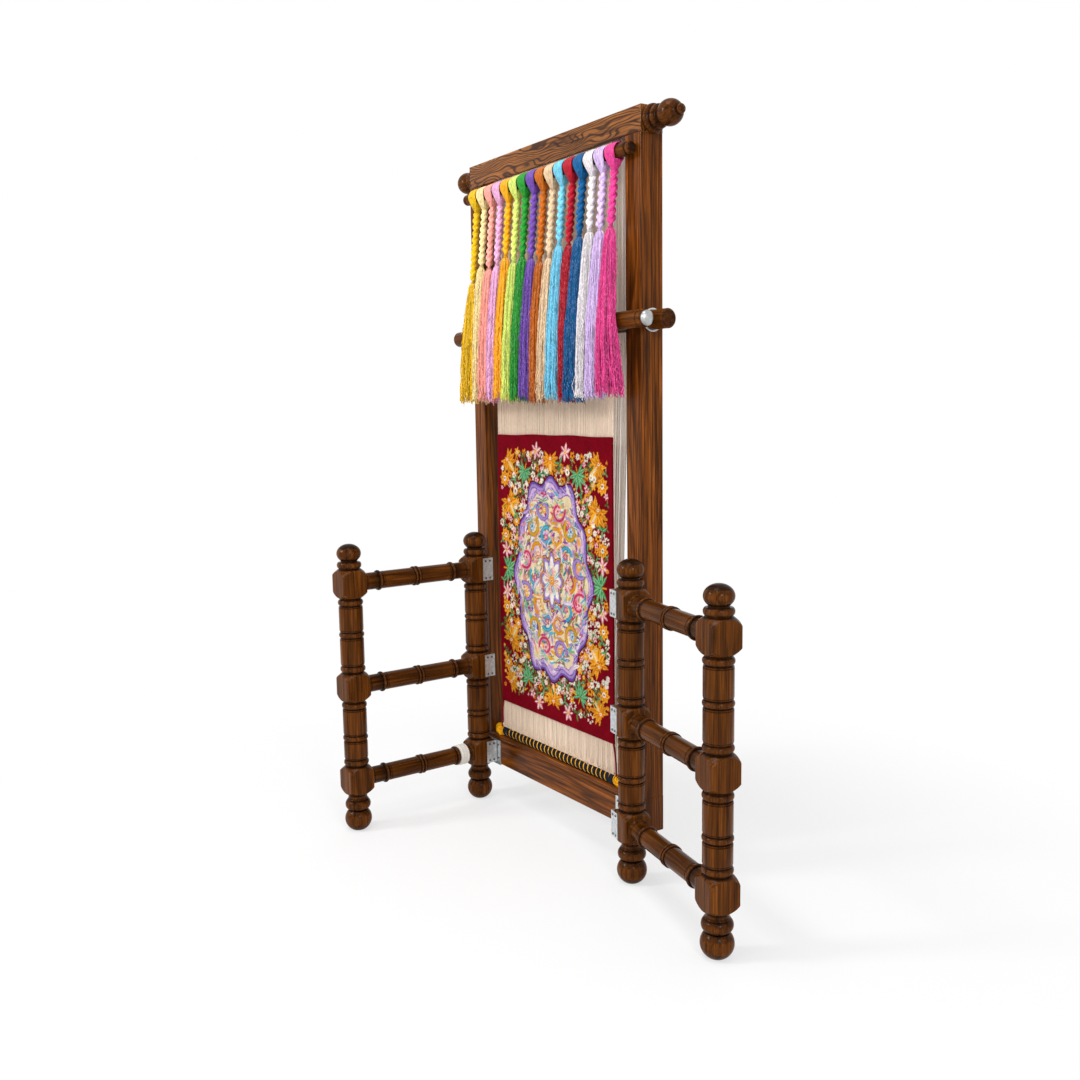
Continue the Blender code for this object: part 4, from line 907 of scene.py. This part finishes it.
# Sizes in mm. The tables give middle x, z, size and turn of the palms and lotuses, middle z and size
# of the big flowers, and for the medallion how far in from its edge each ribbon begins.
rug = {"columns": 236, "rows": 344, "halfWidth": 240, "halfHeight": 345, "foot": 270, "back": 4.9,
       "dyes": {"crimson": "#740416", "wine": "#4c0410", "gold": "#cf9426", "orange": "#c86c16", "pink": "#d88a98",
                "rose": "#b8325c", "white": "#e4dccb", "leaf": "#2f7f45", "pale": "#7db486", "lilac": "#9a82bd",
                "purple": "#6b4796", "sky": "#4aa3c4", "cream": "#ddc9a0", "fern": "#1f5c34", "teal": "#27788a",
                "mauve": "#c6a8ca", "amber": "#e6a02c", "olive": "#8a7c3a"},
       "palms": ((198, 8, 46, 3.14), (-198, 8, 46, 0.0), (112, -262, 42, 1.2), (-112, -262, 42, 1.94),
                 (112, 258, 42, -1.2), (-112, 258, 42, -1.94)),
       "midLotuses": ((0, -296, 40, 1.57), (0, 290, 40, -1.57)),
       "sideLotuses": ((188, -176, 48, 2.2), (-188, -176, 48, 0.94), (188, 182, 48, -2.2), (-188, 182, 48, -0.94),
                       (192, -286, 40, 2.4), (-192, -286, 40, 0.74), (192, 284, 40, -2.4), (-192, 284, 40, -0.74)),
       "flowers": ((-238, 21), (-92, 20), (92, 20), (236, 21), (-128, 15), (132, 15)), "lilies": (-52, 56, -312, 306),
       "lining": 620, "filling": 9000, "wisps": 90, "brushed": 1100, "tall": 1.5, "medallion": 160, "star": 44,
       "wispRing": 147, "brushRing": 140, "outerRing": 116, "outerScroll": 29, "innerRing": 72, "innerScroll": 25,
       "ribbons": ((-3, "wine"), (0, "purple"), (4, "lilac"), (9, "purple"), (11, "mauve"), (17, "purple"),
                   (19, "cream")),
       "starRibbons": ((-2, "wine"), (0, "gold"), (3, "purple"), (6, "lilac"), (12, "white")),
       "strokes": ("mauve", "lilac", "sky", "gold", "pink", "white", "rose", "amber", "pale", "purple", "olive",
                   "white", "teal", "pink")}


# Colour of each knot from its place in mm from the rug's middle. A flower's edge is a cosine of the
# angle round its middle, a leaf is a bent sine arch, and a scroll is a ribbon whose radius falls with the angle.
def rugDyes(x, z):
    shades = {key: hexColour(code) for key, code in rug["dyes"].items()}
    spots = np.random.default_rng(23)
    dye = np.empty(x.shape + (4,))
    dye[:] = shades["crimson"]
    xs, zs = x[:, 0], z[0]

    def near(cx, cz, reach):                        # the patch of knots round a motif, as offsets from its middle
        i0, i1 = np.searchsorted(xs, (cx - reach, cx + reach))
        j0, j1 = np.searchsorted(zs, (cz - reach, cz + reach))
        return dye[i0:i1, j0:j1], x[i0:i1, j0:j1] - cx, z[i0:i1, j0:j1] - cz

    def flower(cx, cz, size, petals, outer, inner, heart, spin=0.0, deep=0.2):
        patch, dx, dz = near(cx, cz, size * 1.1)
        d, a = np.hypot(dx, dz), np.arctan2(dz, dx) + spin
        edge = size * (1 - deep + deep * np.cos(petals * a))
        patch[d < edge * 1.08] = shades["wine"] if size > 12 else shades[outer]
        patch[d < edge] = shades[outer]
        patch[(d < edge * 0.72) & (np.cos(petals * a) > 0.1)] = shades[inner]
        patch[d < size * 0.30] = shades[heart]
        patch[d < size * 0.12] = shades["wine"]

    def leaf(cx, cz, length, turn, name, curl=0.0, slim=0.15, vein=None):
        patch, dx, dz = near(cx, cz, length * 1.3)
        c, s = math.cos(turn), math.sin(turn)
        a, b = dx * c + dz * s, -dx * s + dz * c
        t = np.clip(a / length, 0, 1)
        off = np.abs(b - curl * length * t * t)
        arch = length * slim * np.sin(math.pi * t) ** 0.8
        patch[(a > 0) & (a < length) & (off < arch)] = shades[name]
        if vein:
            patch[(a > 0) & (a < length) & (off < arch * 0.3)] = shades[vein]

    def scroll(cx, cz, size, turn, hand, name, wide, rim):
        patch, dx, dz = near(cx, cz, size * 1.3)
        a = (hand * (np.arctan2(dz, dx) - turn)) % tau
        d = np.abs(np.hypot(dx, dz) - size * (1 - 0.13 * a))
        patch[d < wide + 2.2] = shades[rim]
        patch[d < wide] = shades[name]

    def palm(cx, cz, size, turn):                   # thin leaves all round a stalk
        for k in range(9):
            name, vein = (("leaf", "pale"), ("pale", "leaf"))[k % 2]
            long, way = size * (1.0 - 0.06 * abs(k - 4)), turn + (k - 4) * 0.52
            leaf(cx, cz, long, way, name, 0.12 * (k - 4) / 4, 0.13, vein)
        leaf(cx, cz, size * 0.5, turn + math.pi, "gold", 0, 0.09)

    def lotus(cx, cz, size, turn):                  # a gold blossom in profile with curled side leaves
        for side in (-1, 1):
            for k in range(4):
                way = turn + side * (0.35 + 0.5 * k)
                leaf(cx, cz, size * (1 - 0.1 * k), way, ("gold", "amber")[k % 2], side * 0.35, 0.17, "orange")
        leaf(cx, cz, size * 1.15, turn, "amber", 0, 0.2, "cream")
        flower(cx, cz, size * 0.28, 6, "orange", "amber", "white", turn)

    def lily(cx, cz, size, turn):
        for k in range(6):
            leaf(cx, cz, size, turn + tau * k / 6, ("pink", "rose", "pink")[k % 3], 0.12, 0.24, "white")
        flower(cx, cz, size * 0.3, 5, "amber", "white", "orange", turn)

    taken = []
    for draw, table in ((lotus, "midLotuses"), (palm, "palms"), (lotus, "sideLotuses")):
        for cx, cz, size, turn in rug[table]:
            taken.append((cx, cz, size * 0.82))
            draw(cx, cz, size, turn)
    for side in (-1, 1):
        for cz, size in rug["flowers"]:
            cx = side * (205 if size > 16 else 154)
            flower(cx, cz, size, 8, "amber", "orange", "white", 0.3 * cz, 0.14)
            taken.append((cx, cz, size))
        for cz in rug["lilies"]:
            cx = side * (203 if abs(cz) < 100 else 62)
            lily(cx, cz, 22, cz)
            taken.append((cx, cz, 20))
    for _ in range(rug["lining"]):                  # curved green and gold leaves under the small blossoms
        cx, cz = spots.uniform(-212, 212), spots.uniform(-298, 296)
        way = spots.random() * tau
        if all(math.hypot(cx - a, cz - b) > 0.9 * c for a, b, c in taken):
            leaf(cx, cz, spots.uniform(14, 24), way, ("leaf", "olive", "fern", "gold")[int(spots.integers(4))],
                 spots.normal(0, 0.3), 0.15)
    for _ in range(rug["filling"]):                 # small blossoms and leaves fill what ground is left
        cx, cz = spots.uniform(-222, 222), spots.uniform(-306, 304)
        size = spots.uniform(4, 13)
        if all(math.hypot(cx - a, cz - b) > 0.8 * (c + size) for a, b, c in taken):
            taken.append((cx, cz, size * 0.78))
            way = spots.random() * tau
            pick = int(spots.integers(7))
            if pick in (0, 5):
                name, vein = (("leaf", "pale"), ("fern", "olive"))[pick % 2]
                for k in range(3):
                    leaf(cx, cz, size * 1.9, way + 2.1 * k, name, 0.2, 0.2, vein)
            elif pick in (1, 2, 6):
                share, petals, *colours = {1: (1, 6, "amber", "gold", "cream"), 2: (0.9, 5, "pink", "white", "rose"),
                                           6: (1, 5, "orange", "amber", "wine")}[pick]
                flower(cx, cz, size * share, petals, *colours, way)
            else:
                for k in range(6):
                    flower(cx + 0.8 * size * math.cos(way + k), cz + 0.8 * size * math.sin(way + k), 3.4, 4,
                           "white", "white", "cream", way)
    # the medallion: a lobed oval edged with ribbons, and scrolls, blossoms and leaves round a star
    tall = rug["tall"]
    a = np.arctan2(z / tall, x)
    d = np.hypot(x, z / tall)
    lobes = rug["medallion"] * (1 + 0.05 * np.cos(12 * a) + 0.03 * np.cos(6 * a) - 0.02 * np.cos(2 * a))
    for shrink, name in rug["ribbons"]:
        dye[d < lobes - shrink] = shades[name]
    for k in range(rug["wisps"]):                   # wisps sweep along the medallion's edge
        turn = tau * k / rug["wisps"] + spots.normal(0, 0.03)
        ring = rug["wispRing"] * (1 + 0.05 * math.cos(12 * turn) + 0.03 * math.cos(6 * turn)) + spots.normal(0, 4)
        way = math.atan2(tall * math.cos(turn), -math.sin(turn)) + spots.normal(0.25, 0.3)
        leaf(ring * math.cos(turn), ring * tall * math.sin(turn), spots.uniform(22, 40), way,
             ("purple", "lilac", "mauve", "white")[k % 4], spots.normal(0, 0.25), 0.13, "mauve")
    for k in range(rug["brushed"]):                 # brush-like leaves, each along its ring
        ring, turn = rug["brushRing"] * math.sqrt(spots.random()), spots.random() * tau
        px, pz = ring * math.cos(turn), ring * tall * math.sin(turn)
        way = math.atan2(pz, px) + math.pi / 2 + spots.normal(0, 0.5)
        leaf(px, pz, spots.uniform(13, 30), way, rug["strokes"][int(spots.integers(len(rug["strokes"])))],
             spots.normal(0, 0.3), spots.uniform(0.1, 0.17))
    for k in range(12):                             # the outer ring of scrolls
        turn = tau * (k + 0.5) / 12
        px, pz = rug["outerRing"] * math.cos(turn), rug["outerRing"] * tall * math.sin(turn)
        way = math.atan2(pz, px)
        hand = 1 if k % 2 else -1
        name, rim = (("lilac", "purple"), ("gold", "olive"), ("rose", "pink"))[k % 3]
        colours = (("amber", "gold", "white"), ("sky", "white", "purple"), ("pink", "white", "rose"))[k % 3]
        scroll(px, pz, rug["outerScroll"], way + 1.2 * hand, hand, name, 3.2, rim)
        flower(px, pz, 11, 6, *colours, way)
        for side in (-1, 1):
            leaf(px * 1.1, pz * 1.1, 24, way + side * 0.9, ("leaf", "teal", "pale")[k % 3], 0.3 * side, 0.16, "white")
    for k in range(10):                             # the inner ring
        turn = tau * k / 10
        px, pz = rug["innerRing"] * math.cos(turn), rug["innerRing"] * tall * math.sin(turn)
        way = math.atan2(pz, px)
        hand = 1 if k % 2 else -1
        name, rim = (("gold", "orange"), ("sky", "teal"))[k % 2]
        long, short = (("pink", "rose"), ("mauve", "teal"), ("amber", "gold"), ("lilac", "sky"))[k % 4]
        scroll(px, pz, rug["innerScroll"], way - 0.8 * hand, hand, name, 2.8, rim)
        leaf(px * 0.7, pz * 0.7, 44, way + 0.5 * hand, long, 0.35 * hand, 0.13, "white")
        leaf(px * 0.8, pz * 0.8, 30, way - 0.7 * hand, short, -0.3 * hand, 0.14, "cream")
        flower(px, pz, 9, 5, *(("white", "pink", "amber"), ("rose", "pink", "cream"))[k % 2], way)
    inner = rug["star"] * (1 + 0.16 * np.cos(8 * a))
    for shrink, name in rug["starRibbons"]:
        dye[d < inner - shrink] = shades[name]
    for k in range(16):                             # leaves of the star in the middle
        turn = tau * k / 16
        way = math.atan2(1.42 * math.sin(turn), math.cos(turn))
        leaf(6 * math.cos(turn), 8 * math.sin(turn), 34 if k % 2 else 26, way, ("rose", "sky", "gold", "pink")[k % 4],
             0.15, 0.13, "white")
    flower(0, 0, 13, 8, "amber", "orange", "white", 0, 0.14)
    return dye


# The pile's face is a grid of knots, each of its own height, rounded off at the rim; the back is flat
def makeCarpet():
    low, high = boxOf("carpet")
    mid = (low[0] + high[0]) / 2
    foot = rug["foot"] * mm
    wide, tall = rug["halfWidth"], rug["halfHeight"]
    u, v = np.linspace(-1, 1, rug["columns"]), np.linspace(-1, 1, rug["rows"])
    top = 0.0025 * np.sin(math.pi * (u + 1) / 2) + 0.0008 * np.cos(tau * 3 * (u + 1) / 2)
    gx, gz = np.meshgrid(wide * u, tall * v, indexing="ij")
    worldX = mid + gx * mm + 0.5 * mm * np.sin(gz / 23)
    worldZ = foot + (gz + tall) * mm + top[:, None] * np.clip(v, 0, 1)[None]
    knots = dice.random(gx.shape)
    rounded = np.minimum(1, np.minimum(wide - np.abs(gx), tall - np.abs(gz)) / 3)
    front = low[1] + 0.2 * mm + (1.3 * (1 - rounded) + 0.55 * knots) * mm
    face = np.stack([worldX, front, worldZ], -1)
    back = np.full((rug["columns"], 2), low[1] + rug["back"] * mm)
    rear = np.stack([worldX[:, [-1, 0]], back, worldZ[:, [-1, 0]]], -1)
    dyes = rugDyes(gx, gz)
    points = np.concatenate([face, rear], 1)
    piece = startPiece()
    addGrids(piece, points, points, dye=np.concatenate([dyes, dyes[:, [-1, 0]]], 1))
    carpet = finishPiece(piece, "carpet_pile", "frame", pileWool, ("carpet",), 60)
    rodTop = boxOf("warp_rod")[1][2]
    for label, side in (("left", -1), ("right", 1)):    # the bound edge cord bows down to the rod
        t = np.linspace(0, 1, 20)
        x = mid + side * (246 - 10 * t + 3 * np.sin(math.pi * t)) * mm
        z = rodTop + 6 * mm + (foot + 3 * mm - rodTop - 6 * mm) * t
        piece = startPiece()
        addTubes(piece, np.stack([x, np.full(20, low[1] + 3.0 * mm), z], -1)[None], 2.1 * mm, 10, (0, 1, 0), 0.5)
        finishPiece(piece, label + "_edge_cord", "frame", crimsonWool, (), 70)


makeWarps()
makeWinding()
makeCarpet()
print("warp, winding and carpet made")


screws = {"strapFromEdge": (7.0, 20.0), "strapHeight": 22.0, "leafHeight": 18.0,
          "leafFromEdge": {"top": 7, "middle": 7, "bottom": 8}, "plate": 1.9, "leafFace": 6.7, "sides": 20,
          "s": (-0.3, 0.5, 1.1, 1.5, 1.5, 1.27), "r": (2.85, 2.85, 2.6, 2.0, 1.4, 0.9)}


# Countersunk heads: four on each strap, facing in from the post, and two on each leaf, facing the front
def makeScrews(label):
    side = -1 if label == "left" else 1
    s, r = np.array(screws["s"]) * mm, np.array(screws["r"]) * mm
    rear, front = middleOf(label + "_rear_post"), middleOf(label + "_front_post")
    rear[2] = front[2] = 0
    out = unit(front - rear)
    inward = side * np.cross(out, (0, 0, 1))
    half = gates["blockHalf"]
    onGate, onFrame = startPiece(), startPiece()
    for place, height in zip(("bottom", "middle", "top"), gates["blockCentres"]):
        for up in (-1, 1):
            for edge in screws["strapFromEdge"]:
                at = rear + (inward * (half + screws["plate"]) - out * (half - edge)) * mm
                at[2] = (height + up * screws["strapHeight"]) * mm
                addGrids(onGate, *turning(at, inward, (0, 0, 1), s, r, screws["sides"]))
            low, high = boxOf(label + "_" + place + "_leaf")
            inner = high[0] if side < 0 else low[0]
            at = (inner + side * screws["leafFromEdge"][place] * mm, low[1] + screws["leafFace"] * mm,
                  (height + up * screws["leafHeight"]) * mm)
            addGrids(onFrame, *turning(at, (0, -1, 0), (0, 0, 1), s, r, screws["sides"]))
    finishPiece(onGate, label + "_strap_screws", label + "_gate", screwSteel)
    finishPiece(onFrame, label + "_leaf_screws", "frame", screwSteel)


cap = {"sides": 56, "runs": (("line", 1.2, 15.2, 15.9), ("line", 2.2, 16.0, 16.0), ("ease", 1.6, 16.0, 14.6),
                             ("arc", 5.6, 0, 15.0, 8, 84))}
washers = {"sides": 64, "bore": 20.9, "ease": 0.5}


# A washer is an eight-cornered outline carried round the pole
def makeMetal():
    for label in ("left", "right"):
        for place in ("top", "middle", "bottom"):
            for kind in ("leaf", "strap"):
                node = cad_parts[label + "_" + place + "_" + kind]
                node.data.materials.clear()
                node.data.materials.append(platedZinc)
        makeScrews(label)
    place = middleOf("pole_end_cap")
    place[0] = boxOf("pole_end_cap")[0][0]
    turnPiece("pole_cap_dome", "pole_end_cap", "frame", place, (1, 0, 0), (0, 1, 0), cap["runs"], cap["sides"],
              material=castCap)
    for label in ("left", "right"):
        low, high = boxOf(label + "_pole_washer")
        mid = (low + high) / 2
        sides, inner, ease = washers["sides"], washers["bore"] * mm, washers["ease"] * mm
        outer, half = (high[2] - low[2]) / 2, (high[0] - low[0]) / 2
        ring = np.array([(-half + ease, inner), (-half, inner + ease), (-half, outer - ease), (-half + ease, outer),
                         (half - ease, outer), (half, outer - ease), (half, inner + ease), (half - ease, inner)])
        a = (tau * np.arange(sides) / sides)[:, None]
        points = np.stack([mid[0] + np.broadcast_to(ring[:, 0], (sides, 8)), mid[1] + ring[:, 1] * np.cos(a),
                           mid[2] + ring[:, 1] * np.sin(a)], -1)
        piece = startPiece()
        addGrids(piece, np.concatenate([points, points[:1]]))
        piece["tris"] = [np.zeros((0, 3), int)]         # the ring closes on itself and needs no ends
        finishPiece(piece, label + "_washer_ring", "frame", platedZinc, (label + "_pole_washer",), 30)


tape = {"half": 12.0, "radius": 24.8, "thick": 1.2, "lap": 0.9, "lapPitch": 8.0, "edge": 1.5}


# Tape bound round the rail: a low ridge runs round it as a helix where each turn overlaps the last
def makeTape():
    out = unit((middleOf("left_front_post") - middleOf("left_rear_post")) * [1, 1, 0])
    half = tape["half"] * mm
    s = np.linspace(-half, half, 40)
    a = tau * np.arange(56) / 56
    edge = np.clip((half - np.abs(s)) / (tape["edge"] * mm), 0, 1) ** 0.5
    lap = ((s[:, None] / (tape["lapPitch"] * mm)) + a[None] / tau) % 1
    thick = tape["thick"] + tape["lap"] * lap + 0.25 * np.sin(3 * a)[None]
    r = tape["radius"] * mm + edge[:, None] * thick * mm
    up = np.array([0, 0, 1.0])
    points = (middleOf("rail_wrap") + s[:, None, None] * out + (r * np.cos(a))[..., None] * up
              + (r * np.sin(a))[..., None] * np.cross(out, up))
    piece = startPiece()
    # painted shade and light: each turn is painted darker where it dips under the next turn's edge and lighter as it
    # rises
    addGrids(piece, points, tint=0.3 + 0.5 * lap)
    finishPiece(piece, "rail_tape", "left_gate", whiteTape, ("rail_wrap",), 50)


warpRod = {"radius": 6.0, "sides": 28, "end": (("ease", 2, 4.5, 6.0),)}


def makeWarpRod():
    low, high = boxOf("warp_rod")
    place = middleOf("warp_rod")
    place[0] = low[0]
    plain = (("line", (high[0] - low[0]) / mm - 4, warpRod["radius"], warpRod["radius"]),)
    turnPiece("warp_rod_dowel", "warp_rod", "frame", place, (1, 0, 0), (0, 1, 0),
              warpRod["end"] + plain + mirrored(warpRod["end"]), warpRod["sides"])


makeMetal()
makeTape()
makeWarpRod()
print("metal and tape made")


studio = {"floorHex": "#f4f4f4", "floorRoughness": 0.7, "floorHalf": 30, "fadeStart": 0.6, "fadeEnd": 1.6,
          "wash": 0.6, "worldLevel": 0.6, "aim": (0.0, 0.1, 0.8),
          "lamps": {"key": (74, (-1.3, -3.3, 2.7), 0.75), "fill": (42, (3.4, -1.0, 2.2), 0.7),
                    "top": (40, (0.2, -0.8, 4.4), 1.4)}}


# 1 where the eye, a gloss or a glass looks at a surface
def seenDirectly(tree):
    path = addNode(tree, "LightPath")
    either = addNode(tree, "Math", {0: (path, "Is Camera Ray"), 1: (path, "Is Glossy Ray")}, operation="MAXIMUM")
    return addNode(tree, "Math", {0: (either, 0), 1: (path, "Is Transmission Ray")}, operation="MAXIMUM")


# White world; the floor keeps its shade near the loom and fades to plain white further out
def makeStudio():
    world = bpy.data.worlds.new("studio")
    bpy.context.scene.world = world
    world.use_nodes = True
    tree = world.node_tree
    level = addNode(tree, "MapRange", {"Value": (seenDirectly(tree), 0), "To Min": studio["worldLevel"]})
    setInputs(tree, tree.nodes["Background"], {"Color": (1, 1, 1, 1), "Strength": (level, 0)})

    # painted board, matt: it takes a soft shadow and no reflection
    material, tree, shader = newMaterial("studio floor", {"Base Color": hexColour(studio["floorHex"]),
                                                          "Roughness": studio["floorRoughness"],
                                                          "Specular IOR Level": 0.2})
    place = addNode(tree, "TexCoord")
    distance = addNode(tree, "VectorMath", {0: (place, "Object")}, operation="LENGTH")
    fade = addNode(tree, "MapRange", {"Value": (distance, "Value"), "From Min": studio["fadeStart"],
                                      "From Max": studio["fadeEnd"], "To Min": studio["wash"]},
                   interpolation_type="SMOOTHSTEP")
    white = addNode(tree, "Emission", {"Color": (1, 1, 1, 1), "Strength": 1.0})
    seen = addNode(tree, "Math", {0: (fade, 0), 1: (seenDirectly(tree), 0)}, operation="MULTIPLY")
    mix = addNode(tree, "MixShader", {"Fac": (seen, 0), 1: (shader, 0), 2: (white, 0)})
    setInputs(tree, tree.nodes["Material Output"], {"Surface": (mix, 0)})
    mesh = bpy.data.meshes.new("floor")
    half = studio["floorHalf"]
    mesh.from_pydata([(-half, -half, 0), (half, -half, 0), (half, half, 0), (-half, half, 0)], [], [(0, 1, 2, 3)])
    mesh.materials.append(material)
    floor = addObject("floor", mesh)

    for name, (watts, place, size) in studio["lamps"].items():
        light = bpy.data.lights.new(name, "AREA")
        light.energy = watts
        light.size = size
        ahead = unit(np.array(studio["aim"]) - np.array(place))
        side = unit(np.cross(ahead, (0, 0, 1)))
        addObject(name, light, standing(side, np.cross(side, ahead), ahead, place))
    bpy.context.scene.view_settings.view_transform = "Standard"


makeStudio()
print("floor and light made")
